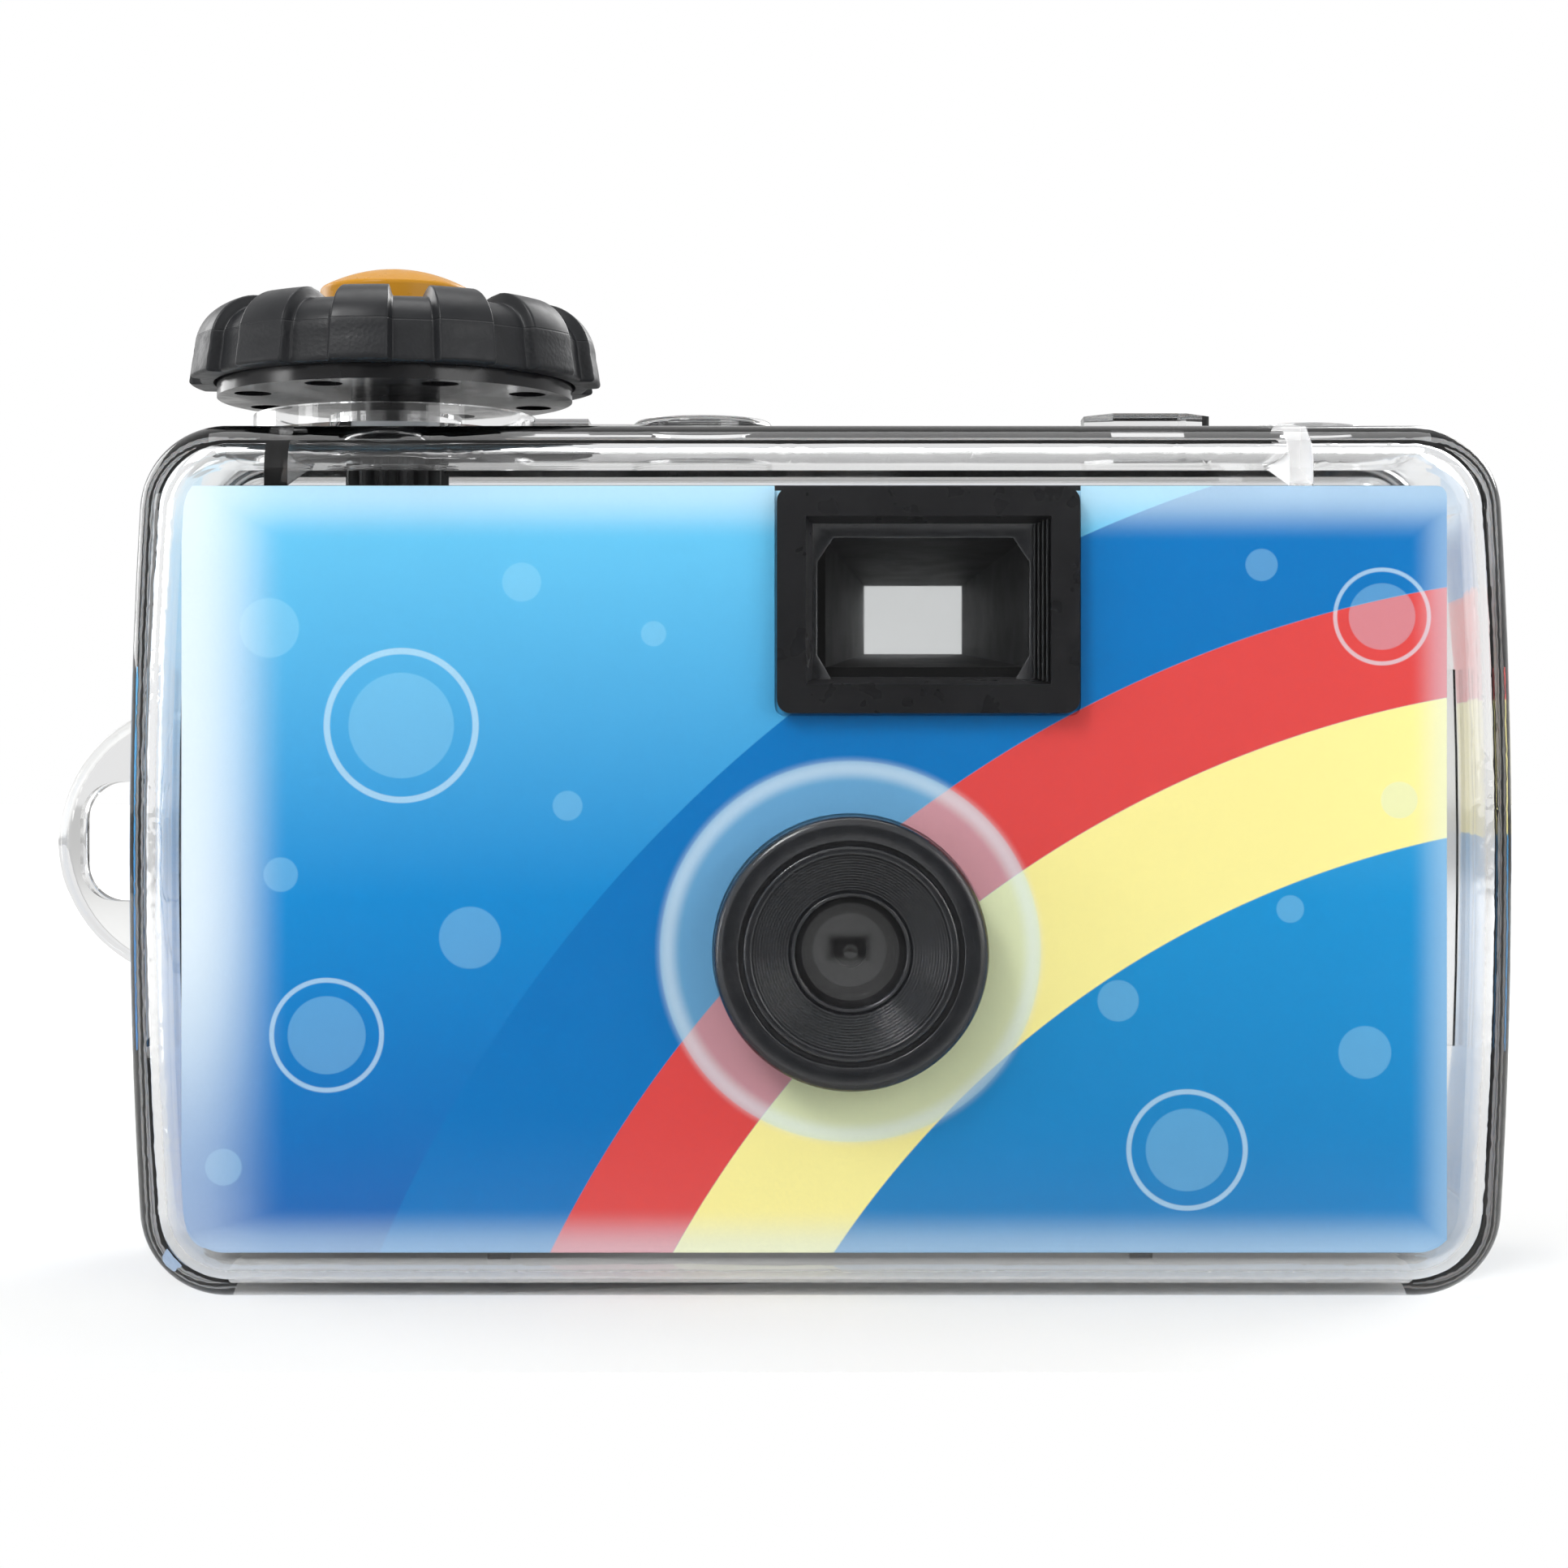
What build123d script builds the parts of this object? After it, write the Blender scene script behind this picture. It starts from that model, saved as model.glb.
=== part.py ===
from build123d import *
import math
import os

# A single use film camera sealed in a clear waterproof case, in millimetres.
# X runs to the right as seen from the front, Y to the back and Z up. The origin is the
# middle of the case's flat base, under the axis of the winding knob seen from the side.
# Sealed inside, a printed camera holds its film, shutter and winding train. The knob on
# the case turns the camera's winding wheel through a pair of gears under the roof, and
# the button in the knob presses the camera's own release bar through the hollow shaft.
# Heights build up from the film cassette to the camera, the case and the knob on top,
# and widths from the film gate outwards.

os.makedirs("parts", exist_ok=True)

# Shared clearances
running_fit = 0.05
part_gap = 0.3
cut_overrun = 1.0

# Clear case, as its walls and the room that it leaves round the camera
case_wall = 2.0
case_rim_wall = 2.8
case_rim_wall_length = 4.0
case_side_gap = 1.95
case_headroom = 2.5
case_front_room = 6.6
case_back_gap = 1.585
case_side_draft = 1.1
case_roof_draft = 1.5
case_rim_length = 6.0
case_rear_depth = 7.0
case_side_bow = 1.4
case_corner_radius = 7.5
case_edge_radius = 4.0
bead_height = 0.8
bead_width = 1.6
bead_start_height = 9.0
groove_width = 1.2
groove_depth = 2.4
gasket_thickness = 1.0
tongue_clearance = 0.1

# Raised places on the case roof, as heights over its front edge
roof_feature_sink = 0.3
collar_radius = 12.75
collar_wall = 1.4
collar_height = 2.6
bearing_wall = 2.0
thrust_pad_depth = 1.4
boss_y = -2.0
boss_radius = 6.4
boss_height = 2.6
boss_edge_radius = 0.6
bridge_width = 9.0
bridge_low_length = 10.2
bridge_high_height = 2.4
bridge_low_height = 1.9
block_inset = 29.3
block_length = 11.4
block_width = 9.0
block_corner = 2.4
block_height = 2.9
disc_inset = 14.6
disc_radius = 5.2
disc_height = 2.0

# Ribs inside the case
gusset_insets = (12.8, 18.3)
gusset_thickness = 2.0
gusset_roof_length = 15.0
gusset_wall_length = 1.2
side_rib_width = 2.0
side_rib_height = 34.0
back_rib_thickness = 1.6
back_rib_height = 46.0
back_rib_spacing = 56.0

# Lanyard lug
lug_radius = 13.4
lug_rise = 0.3
lug_thickness = 4.0
lug_edge_radius = 0.8
slot_height = 11.6
slot_width = 8.6
slot_rim = 2.3
slot_corner_radius = 3.6

# Winding knob
knob_offset_x = 0.75
knob_y = -5.0
grip_radius = 17.5
grip_skirt_wall = 1.25
grip_rise = 1.3
grip_height = 6.1
grip_top_wall = 1.1
grip_shoulder_radius = 3.6
grip_taper = 0.35
lobe_count = 12
lobe_angle = 17.0
lobe_phase = -93.0
lobe_height = 1.1
flange_clearance = 0.25
flange_gap = 1.6
flange_thickness = 1.4
flange_hole_count = 8
flange_hole_radius = 1.65
flange_hole_inset = 2.8
flange_hole_phase = 24.0
hub_wall = 1.5
well_clearance = 0.2
shaft_radius = 4.0
shaft_ring_depth = 1.8
ring_width = 1.4
ring_depth = 1.0
ring_slack = 0.1
ring_round_share = 0.4
spigot_radius = 2.5
knob_bore_radius = 2.5
knob_bore_depth = 1.3
rod_bore_radius = 1.6

# Push button
button_radius = 6.8
button_flange_step = 0.7
button_flange_thickness = 1.2
button_stand = 4.4
button_crown = 1.8
button_wall = 1.0
button_edge_radius = 0.5
button_travel = 2.0
plunger_ring_width = 1.0
plunger_ring_depth = 0.7
socket_wall = 1.2
spring_wire = 0.6
spring_room = 0.65
spring_turns = 5

# Gear pair under the roof
gear_module = 0.6
pinion_teeth = 13
wind_gear_teeth = 14
gear_thickness = 2.2
gear_pressure_angle = 20.0
gear_backlash = 0.12
tooth_tip_share = 0.9
tooth_root_share = 1.25
flank_shares = (0.0, 0.3, 0.6, 1.0)
gear_seat_radius = 1.8

# Camera inside the case
camera_centre_x = -0.5
camera_front_room = 3.815
camera_plan_radius = 3.5
camera_corner_radius = 3.5
sleeve_thickness = 0.35
sleeve_margin = 0.5
cover_wall = 1.3
rear_cover_depth = 8.415

# Film and its cassette
cassette_radius = 12.5
cassette_end_room = 3.5
cassette_foot = 4.2
cassette_wall = 0.4
cassette_cap_thickness = 0.7
cassette_clearance = 0.2
spool_core_radius = 5.7
spool_flange_gap = 0.8
spool_flange_thickness = 0.8
spool_end_radius = 4.35
spool_end_length = 5.6
spool_bore_radius = 2.5
spool_bore_depth = 8.0
spool_key_width = 1.2
film_width = 35.0
film_thickness = 0.14
film_inset = 2.0
film_pitch = 4.75
film_hole_length = 1.98
film_hole_height = 2.8
film_hole_margin = 2.0
film_hole_count = 13
lip_gap = 0.35
lip_length = 15.0
gate_width = 36.0
gate_height = 24.0
gate_rail = 3.0
gate_thickness = 2.0
film_slack = 0.2
pad_grooves = 4
pad_groove_pitch = 9.0

# Lens and its ring, as distances in front of the camera's face
ring_radius = 11.85
ring_front = 5.0
ring_spigot_step = 1.15
ring_land_width = 2.15
ring_groove_width = 0.4
ring_groove_step = 0.2
ring_groove_depth = 0.5
ring_throat_step = 0.2
ring_throat_front = 2.3
ring_cone_steps = 9
ring_lip_step = 0.45
ring_edge_radius = 0.7
lens_radius = 5.3
lens_crown_front = 2.1
lens_edge_front = 1.2
lens_rim_width = 1.3
lens_rim_thickness = 1.2

# Shutter, as distances behind the camera's face
lens_back = 0.8
aperture_plate_back = 2.0
aperture_plate_thickness = 0.7
aperture_radius = 1.4
aperture_plate_width = 33.0
aperture_plate_height = 20.0
aperture_post_inset = 2.0
shutter_plate_back = 6.9
shutter_hole_radius = 4.2
plate_thickness = 1.2
tunnel_front_width = 12.0
tunnel_front_height = 10.0
blade_back = 3.7
blade_thickness = 0.3
blade_disc_radius = 3.2
blade_pivot_x = 9.0
blade_pivot_z = 7.0
blade_arm_width = 2.4
pivot_radius = 0.9
pivot_boss_radius = 1.7
striker_back = 5.2
striker_thickness = 0.5
striker_pivot_x = -11.0
striker_pivot_z = 7.0
striker_length = 13.0
coil_wire = 0.35
coil_turns = 3
coil_gap = 0.45

# Viewfinder
finder_x = 9.4
finder_width = 26.3
finder_height = 19.6
finder_front = 1.8
finder_bezel_depth = 2.6
finder_bezel_wall = 2.5
finder_side_lap = 2.35
finder_end_lap = 2.2
finder_body_clearance = 0.1
finder_wall = 1.0
finder_back_width = 12.5
finder_back_height = 9.6
finder_window_thickness = 1.2
finder_ledge = 0.9
finder_back_ledge = 0.5
finder_corner_radius = 1.2
finder_deck_gap = 0.45
finder_top_margin = 0.35

# Winding wheel, release bar and counter
wheel_rise = 1.6
wheel_thickness = 4.5
wheel_proud = 0.3
wheel_notches = 40
wheel_notch_depth = 0.5
wheel_hub_clearance = 0.15
deck_clearance = 1.3
deck_thickness = 1.2
release_pad_radius = 4.0
release_thickness = 1.3
release_post_x = 5.4
release_post_radius = 1.0
release_post_depth = 16.2
release_clearance = 0.15
latch_length = 7.9
latch_back = 2.8
latch_boss_length = 1.6
latch_thickness = 0.8
latch_width = 3.0
latch_right_length = 8.0
sprocket_teeth = 8
sprocket_room = 8.5
sprocket_gate_gap = 4.65
sprocket_thickness = 2.2
sprocket_tooth_height = 1.1
sprocket_tooth_width = 1.8
sprocket_tooth_slope = 80.0
sprocket_film_gap = 0.1
sprocket_shaft_radius = 1.5
sprocket_finger_radius = 2.1
counter_y = 3.6
counter_radius = 7.9
counter_teeth = 30
counter_tooth_depth = 0.5
counter_depth = 4.6
counter_thickness = 1.3
counter_post_radius = 1.5
counter_hub_length = 1.8
counter_finger_gap = 0.18
counter_window_radius = 3.2

# Supply side
roll_radius = 9.25
roll_core_radius = 6.0
roll_clearance = 0.15
supply_flange_step = 0.65
supply_pin_radius = 2.0
chamber_wall = 1.2
chamber_lap = 0.05
supply_side_room = 3.7

# Film cassette, winding wheel and supply chamber
spool_flange_radius = cassette_radius - cassette_wall - spool_flange_gap
film_offset = cassette_radius - film_inset
cassette_chamber_radius = cassette_radius + cassette_clearance
supply_flange_radius = roll_radius + supply_flange_step
supply_chamber_radius = supply_flange_radius + part_gap
wheel_radius = cassette_chamber_radius + cover_wall + sleeve_thickness + wheel_proud
wheel_hub_radius = spool_bore_radius - wheel_hub_clearance

# Widths, from the film gate to the camera and the case
spool_to_lens = lip_length + part_gap + sprocket_room + gate_width / 2
lens_to_supply = gate_width / 2 + 2 * gate_rail + supply_chamber_radius + chamber_wall - chamber_lap
spool_side = sleeve_thickness + cover_wall + part_gap + wheel_radius
supply_side = sleeve_thickness + cover_wall + chamber_wall + supply_chamber_radius + supply_side_room
camera_width = spool_side + spool_to_lens + lens_to_supply + supply_side
camera_left_x = camera_centre_x - camera_width / 2
camera_right_x = camera_centre_x + camera_width / 2
spool_x = camera_left_x + spool_side
lens_x = spool_x + spool_to_lens
supply_x = lens_x + lens_to_supply
case_front_width = camera_width + 2 * (case_side_gap + case_wall)
case_rim_width = case_front_width + 2 * case_side_draft
gusset_x = (gusset_insets[0] - case_front_width / 2, case_front_width / 2 - gusset_insets[1])
block_x = case_front_width / 2 - block_inset
disc_x = case_front_width / 2 - disc_inset
knob_x = spool_x + knob_offset_x

# Heights, from the cassette to the camera, the case and the knob
camera_bottom_z = case_rim_wall
cover_floor_z = camera_bottom_z + cover_wall
cassette_bottom_z = cover_floor_z + cassette_foot
cassette_height = film_width + 2 * cassette_end_room
cassette_top_z = cassette_bottom_z + cassette_height
lens_z = cassette_bottom_z + cassette_height / 2
film_bottom_z = lens_z - film_width / 2
film_top_z = film_bottom_z + film_width
low_deck_z = cassette_top_z + part_gap
deck_z = cassette_top_z + spool_end_length + deck_clearance
wheel_z = deck_z + deck_thickness + wheel_rise
finder_body_width = finder_width - 2 * finder_side_lap
finder_body_height = finder_height - 2 * finder_end_lap
finder_z = low_deck_z + deck_thickness + finder_deck_gap + finder_body_height / 2
camera_top_z = finder_z + finder_height / 2 + finder_top_margin
camera_height = camera_top_z - camera_bottom_z
case_front_height = camera_top_z + case_headroom + case_wall
case_rim_height = case_front_height + case_roof_draft
roof_feature_foot_z = case_front_height - roof_feature_sink
collar_top_z = case_front_height + collar_height
thrust_pad_z = case_front_height - thrust_pad_depth
boss_top_z = case_front_height + boss_height
bridge_high_z = case_front_height + bridge_high_height
bridge_low_z = case_front_height + bridge_low_height
block_top_z = case_front_height + block_height
disc_top_z = case_front_height + disc_height
lug_z = case_rim_height / 2 + lug_rise
flange_bottom_z = collar_top_z + flange_gap
grip_bottom_z = flange_bottom_z + grip_rise
grip_top_z = grip_bottom_z + grip_height
button_top_z = grip_top_z + button_stand
button_side_z = button_top_z - button_crown
shaft_ring_z = collar_top_z - shaft_ring_depth
knob_bore_z = flange_bottom_z - knob_bore_depth
gear_top_z = thrust_pad_z - part_gap
gear_bottom_z = gear_top_z - gear_thickness
rod_end_z = camera_top_z + part_gap
counter_z = camera_top_z - counter_depth
release_post_end_z = camera_top_z - release_post_depth
latch_z = release_post_end_z - part_gap - latch_width / 2
sprocket_z = film_top_z - film_hole_margin - film_hole_height / 2 - sprocket_thickness / 2

# Depths, from the knob to the spool, the film, the camera and the case
gear_centre_distance = gear_module * (pinion_teeth + wind_gear_teeth) / 2
spool_y = knob_y + math.sqrt(gear_centre_distance**2 - knob_offset_x**2)
pinion_angle = math.degrees(math.atan2(spool_y - knob_y, spool_x - knob_x))
film_y = spool_y + film_offset
camera_back_y = spool_y + wheel_radius - wheel_proud
camera_front_y = spool_y - wheel_radius - camera_front_room
cover_back_y = camera_back_y - sleeve_thickness
cover_split_y = camera_back_y - rear_cover_depth
case_front_y = camera_front_y - case_front_room - case_wall
case_back_y = camera_back_y + case_back_gap + case_wall
case_rim_y = case_back_y - case_rear_depth
case_draft_end_y = case_rim_y - case_rim_length
ring_front_y = camera_front_y - ring_front
ring_throat_y = camera_front_y - ring_throat_front
lens_crown_y = camera_front_y - lens_crown_front
lens_edge_y = camera_front_y - lens_edge_front
lens_back_y = camera_front_y + lens_back
aperture_plate_y = camera_front_y + aperture_plate_back
blade_y = camera_front_y + blade_back
striker_y = camera_front_y + striker_back
shutter_plate_y = camera_front_y + shutter_plate_back
finder_front_y = camera_front_y - finder_front
latch_y = camera_front_y + latch_back
latch_back_y = latch_y + latch_boss_length
release_post_y = latch_y - knob_y
latch_x = knob_x + release_post_x + latch_length

# Sprocket, frame counter and supply spool
sprocket_radius = sprocket_teeth * film_pitch / (2 * math.pi)
sprocket_tip_radius = sprocket_radius - sprocket_film_gap
sprocket_x = lens_x - gate_width / 2 - sprocket_gate_gap
sprocket_y = film_y - sprocket_radius
counter_reach = counter_radius + sprocket_finger_radius + counter_finger_gap
counter_x = sprocket_x + math.sqrt(counter_reach**2 - (sprocket_y - counter_y) ** 2)
supply_y = film_y - roll_radius - roll_clearance
boss_x = counter_x
bridge_high_end_x = boss_x - bridge_low_length

# Radii of the knob, its bearing and the lens ring
bearing_radius = shaft_radius + bearing_wall
flange_radius = grip_radius - grip_skirt_wall - flange_clearance
flange_hole_circle = flange_radius - flange_hole_inset
button_flange_radius = button_radius + button_flange_step
hub_radius = button_flange_radius + well_clearance + hub_wall
spring_radius = button_radius - button_wall - spring_wire / 2 - spring_room
ring_spigot_radius = ring_radius - ring_spigot_step
ring_land_radius = ring_radius - ring_land_width
ring_groove_radius = ring_land_radius - ring_groove_width
ring_cone_radius = ring_groove_radius - ring_groove_step
ring_throat_radius = lens_radius + ring_throat_step
ring_lip_radius = lens_radius - ring_lip_step
lens_rim_radius = lens_radius + lens_rim_width
aperture_post_spacing = aperture_plate_width - 2 * aperture_post_inset


def case_outline(inset, y, width=case_rim_width, height=case_rim_height, radius=None):
    """Front view of the case at one depth: flat base, flat roof and bowed sides."""
    if radius is None:
        radius = case_corner_radius - inset
    half = width / 2 - inset
    corner = half - case_side_bow
    bottom = inset
    top = height - inset
    with BuildSketch(Plane.XZ.offset(-y)) as outline:
        with BuildLine():
            Line((-corner, bottom), (corner, bottom))
            ThreePointArc((corner, bottom), (half, height / 2), (corner, top))
            Line((corner, top), (-corner, top))
            ThreePointArc((-corner, top), (-half, height / 2), (-corner, bottom))
        make_face()
        fillet(outline.vertices(), radius)
    return outline.sketch


def gear_outline(teeth, first_tooth):
    """Involute gear outline, with one tooth centred on the angle first_tooth in degrees."""
    pitch_radius = gear_module * teeth / 2
    base_radius = pitch_radius * math.cos(math.radians(gear_pressure_angle))
    tip_radius = pitch_radius + gear_module * tooth_tip_share
    root_radius = pitch_radius - gear_module * tooth_root_share
    flank_start = max(base_radius, root_radius)

    def involute(radius):
        angle = math.acos(base_radius / radius)
        return math.tan(angle) - angle

    half_tooth = math.pi / (2 * teeth) - gear_backlash / (2 * pitch_radius)
    half_base = half_tooth + involute(pitch_radius)
    flank = [flank_start + (tip_radius - flank_start) * share for share in flank_shares]
    points = []
    for tooth in range(teeth):
        centre = math.radians(first_tooth) + 2 * math.pi * tooth / teeth
        rising = [(radius, centre - half_base + involute(radius)) for radius in flank]
        falling = [(radius, 2 * centre - angle) for radius, angle in reversed(rising)]
        sides = [(root_radius, rising[0][1])] + rising + falling + [(root_radius, falling[-1][1])]
        points += [(radius * math.cos(angle), radius * math.sin(angle)) for radius, angle in sides]
    return points


def dome_radius(half_width, rise):
    """Radius of a ball's cap of one half width and rise."""
    return (half_width**2 + rise**2) / (2 * rise)


# The two case shells

with BuildPart() as case_cavity:
    loft(sections=[
        case_outline(case_wall, case_front_y + case_wall, case_front_width, case_front_height),
        case_outline(case_wall, case_draft_end_y),
    ])
    fillet(case_cavity.edges().group_by(Axis.Y)[0], case_edge_radius - case_wall)
    extrude(
        case_outline(case_wall, case_draft_end_y),
        amount=case_rim_y - case_rim_wall_length - case_draft_end_y,
        dir=(0, 1, 0),
    )
    extrude(
        case_outline(case_rim_wall, case_draft_end_y, radius=camera_corner_radius + part_gap),
        amount=case_rim_y - case_draft_end_y,
        dir=(0, 1, 0),
    )

with BuildPart() as front_case:
    loft(sections=[
        case_outline(0, case_front_y, case_front_width, case_front_height),
        case_outline(0, case_draft_end_y),
    ])
    extrude(case_outline(0, case_draft_end_y), amount=case_rim_y - case_draft_end_y, dir=(0, 1, 0))
    fillet(front_case.edges().group_by(Axis.Y)[0], case_edge_radius)
    # Bead along the sides and roof at the joint
    with BuildSketch(Plane.XZ.offset(-case_rim_y)) as front_bead:
        add(case_outline(-bead_height, case_rim_y))
        with Locations((0, bead_start_height - case_rim_height / 2)):
            Rectangle(2 * case_rim_width, case_rim_height, mode=Mode.SUBTRACT)
    extrude(amount=bead_width)
    # Collar, boss, bridge, block and disc on the roof
    with BuildSketch(Plane.XY.offset(roof_feature_foot_z)):
        with Locations((knob_x, knob_y)):
            Circle(collar_radius)
    extrude(amount=collar_top_z - roof_feature_foot_z)
    with BuildSketch(Plane.XY.offset(roof_feature_foot_z)):
        with Locations(((knob_x + bridge_high_end_x) / 2, boss_y)):
            Rectangle(bridge_high_end_x - knob_x, bridge_width)
    extrude(amount=bridge_high_z - roof_feature_foot_z)
    with BuildSketch(Plane.XY.offset(roof_feature_foot_z)):
        with Locations(((boss_x + bridge_high_end_x) / 2, boss_y)):
            Rectangle(boss_x - bridge_high_end_x, bridge_width)
    extrude(amount=bridge_low_z - roof_feature_foot_z)
    with BuildSketch(Plane.XY.offset(roof_feature_foot_z)):
        with Locations((boss_x, boss_y)):
            Circle(boss_radius)
    extrude(amount=boss_top_z - roof_feature_foot_z)
    boss_top = (boss_x, boss_y, boss_top_z)
    fillet(front_case.edges().filter_by(GeomType.CIRCLE).sort_by_distance(boss_top)[0], boss_edge_radius)
    with BuildSketch(Plane.XY.offset(roof_feature_foot_z)) as block_plan:
        with Locations((block_x, boss_y)):
            Rectangle(block_length, block_width)
        chamfer(block_plan.vertices(), block_corner)
    extrude(amount=block_top_z - roof_feature_foot_z)
    with BuildSketch(Plane.XY.offset(roof_feature_foot_z)):
        with Locations((disc_x, boss_y)):
            Circle(disc_radius)
    extrude(amount=disc_top_z - roof_feature_foot_z)
    # Recess inside the collar, round the shaft bearing
    with BuildSketch(Plane.XY.offset(collar_top_z)):
        with Locations((knob_x, knob_y)):
            Circle(collar_radius - collar_wall)
            Circle(bearing_radius, mode=Mode.SUBTRACT)
    extrude(amount=case_front_height + case_wall / 2 - collar_top_z, mode=Mode.SUBTRACT)
    add(case_cavity.part, mode=Mode.SUBTRACT)
    # Thrust pad under the roof, and the bore for the shaft
    with BuildSketch(Plane.XY.offset(thrust_pad_z)):
        with Locations((knob_x, knob_y)):
            Circle(bearing_radius)
    extrude(amount=roof_feature_foot_z - thrust_pad_z)
    with BuildSketch(Plane.XY.offset(thrust_pad_z - cut_overrun)):
        with Locations((knob_x, knob_y)):
            Circle(shaft_radius + running_fit)
    extrude(amount=collar_top_z - thrust_pad_z + 2 * cut_overrun, mode=Mode.SUBTRACT)
    # Gussets in the corner of the roof and the front wall
    for gusset_place in gusset_x:
        with BuildSketch(Plane.YZ.offset(gusset_place - gusset_thickness / 2)):
            with BuildLine():
                Polyline(
                    (case_front_y + case_wall / 2, case_front_height - case_edge_radius - gusset_wall_length),
                    (case_front_y + case_wall, case_front_height - case_edge_radius - gusset_wall_length),
                    (case_front_y + case_wall + gusset_roof_length, case_front_height - case_wall),
                    (case_front_y + case_wall + gusset_roof_length, case_front_height - case_wall / 2),
                    (case_front_y + case_edge_radius, case_front_height - case_wall / 2),
                    (case_front_y + case_wall / 2, case_front_height - case_edge_radius),
                    close=True,
                )
            make_face()
        extrude(amount=gusset_thickness)
    # Side ribs that hold the camera from left and right
    with BuildSketch(Plane.YZ.offset(-case_front_width / 2 + case_wall / 2)):
        with Locations((knob_y, case_front_height / 2)):
            Rectangle(side_rib_width, side_rib_height)
    extrude(amount=camera_left_x + case_front_width / 2 - case_wall / 2)
    with BuildSketch(Plane.YZ.offset(camera_right_x)):
        with Locations((knob_y, case_front_height / 2)):
            Rectangle(side_rib_width, side_rib_height)
    extrude(amount=case_front_width / 2 - case_wall / 2 - camera_right_x)
    # Floor ribs, as high as the thick rim that the camera's back rests on
    with BuildSketch(Plane.XY.offset(case_wall / 2)):
        with Locations((0, (camera_front_y + case_rim_y) / 2)):
            with GridLocations(back_rib_spacing, 0, 2, 1):
                Rectangle(side_rib_width, case_rim_y - camera_front_y)
    extrude(amount=camera_bottom_z - case_wall / 2)
    # Groove for the gasket and the tongue
    with BuildSketch(Plane.XZ.offset(-case_rim_y)):
        add(case_outline((case_rim_wall - groove_width) / 2, case_rim_y))
        add(case_outline((case_rim_wall + groove_width) / 2, case_rim_y), mode=Mode.SUBTRACT)
    extrude(amount=groove_depth, mode=Mode.SUBTRACT)
front_case.part.label = "front_case"

with BuildPart() as case_gasket:
    with BuildSketch(Plane.XZ.offset(-(case_rim_y - groove_depth + gasket_thickness))):
        add(case_outline((case_rim_wall - groove_width) / 2, case_rim_y))
        add(case_outline((case_rim_wall + groove_width) / 2, case_rim_y), mode=Mode.SUBTRACT)
    extrude(amount=gasket_thickness)
case_gasket.part.label = "case_gasket"

with BuildPart() as tray_cavity:
    extrude(
        case_outline(case_rim_wall, case_rim_y - cut_overrun, radius=camera_corner_radius + part_gap),
        amount=bead_width + cut_overrun,
        dir=(0, 1, 0),
    )
    extrude(
        case_outline(case_wall, case_rim_y + bead_width),
        amount=case_rear_depth - case_wall - bead_width,
        dir=(0, 1, 0),
    )
    fillet(tray_cavity.edges().group_by(Axis.Y)[-1], case_edge_radius - case_wall)

with BuildPart() as rear_case:
    extrude(case_outline(0, case_rim_y), amount=case_rear_depth, dir=(0, 1, 0))
    fillet(rear_case.edges().group_by(Axis.Y)[-1], case_edge_radius)
    with BuildSketch(Plane.XZ.offset(-case_rim_y - bead_width)):
        add(case_outline(-bead_height, case_rim_y))
        with Locations((0, bead_start_height - case_rim_height / 2)):
            Rectangle(2 * case_rim_width, case_rim_height, mode=Mode.SUBTRACT)
    extrude(amount=bead_width)
    # Half round lug for the lanyard
    with BuildSketch(Plane.XZ.offset(-case_rim_y - lug_thickness)):
        with Locations((-case_rim_width / 2, lug_z)):
            Circle(lug_radius)
        with Locations((lug_radius + case_wall - case_rim_width / 2, lug_z)):
            Rectangle(2 * lug_radius, 2 * lug_radius, mode=Mode.SUBTRACT)
    extrude(amount=lug_thickness)
    lug_rim = rear_case.edges().filter_by(GeomType.CIRCLE).sort_by(Axis.X)[0:2]
    fillet(lug_rim, lug_edge_radius)
    with BuildSketch(Plane.XZ.offset(-case_rim_y + cut_overrun)) as lug_slot:
        with Locations((slot_rim + slot_width / 2 - lug_radius - case_rim_width / 2, lug_z)):
            Rectangle(slot_width, slot_height)
        fillet(lug_slot.vertices().group_by(Axis.X)[0], slot_corner_radius)
    extrude(amount=-lug_thickness - 2 * cut_overrun, mode=Mode.SUBTRACT)
    # Tongue that presses the gasket into its groove
    with BuildSketch(Plane.XZ.offset(-case_rim_y)):
        add(case_outline((case_rim_wall - groove_width) / 2 + tongue_clearance, case_rim_y))
        add(
            case_outline((case_rim_wall + groove_width) / 2 - tongue_clearance, case_rim_y),
            mode=Mode.SUBTRACT,
        )
    extrude(amount=groove_depth - gasket_thickness)
    add(tray_cavity.part, mode=Mode.SUBTRACT)
    # Ribs that hold the camera's back
    with BuildSketch(Plane.XZ.offset(-camera_back_y)):
        with Locations((0, case_rim_height / 2)):
            with GridLocations(back_rib_spacing, 0, 2, 1):
                Rectangle(back_rib_thickness, back_rib_height)
    extrude(amount=camera_back_y - case_back_y + case_wall / 2)
rear_case.part.label = "rear_case"

# The winding knob, its button and seals

knob_section = Plane(origin=(knob_x, knob_y, 0), x_dir=(1, 0, 0), z_dir=(0, -1, 0))
knob_axis = Axis((knob_x, knob_y, 0), (0, 0, 1))
lip_bottom_z = grip_top_z - grip_top_wall
button_flange_z = lip_bottom_z - part_gap - button_flange_thickness
well_floor_z = button_flange_z - button_travel - part_gap
button_ceiling_z = button_side_z - button_wall
shoulder_radius = grip_radius - grip_taper - grip_shoulder_radius
shoulder_z = grip_top_z - grip_shoulder_radius
skirt_radius = grip_radius - grip_skirt_wall

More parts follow.
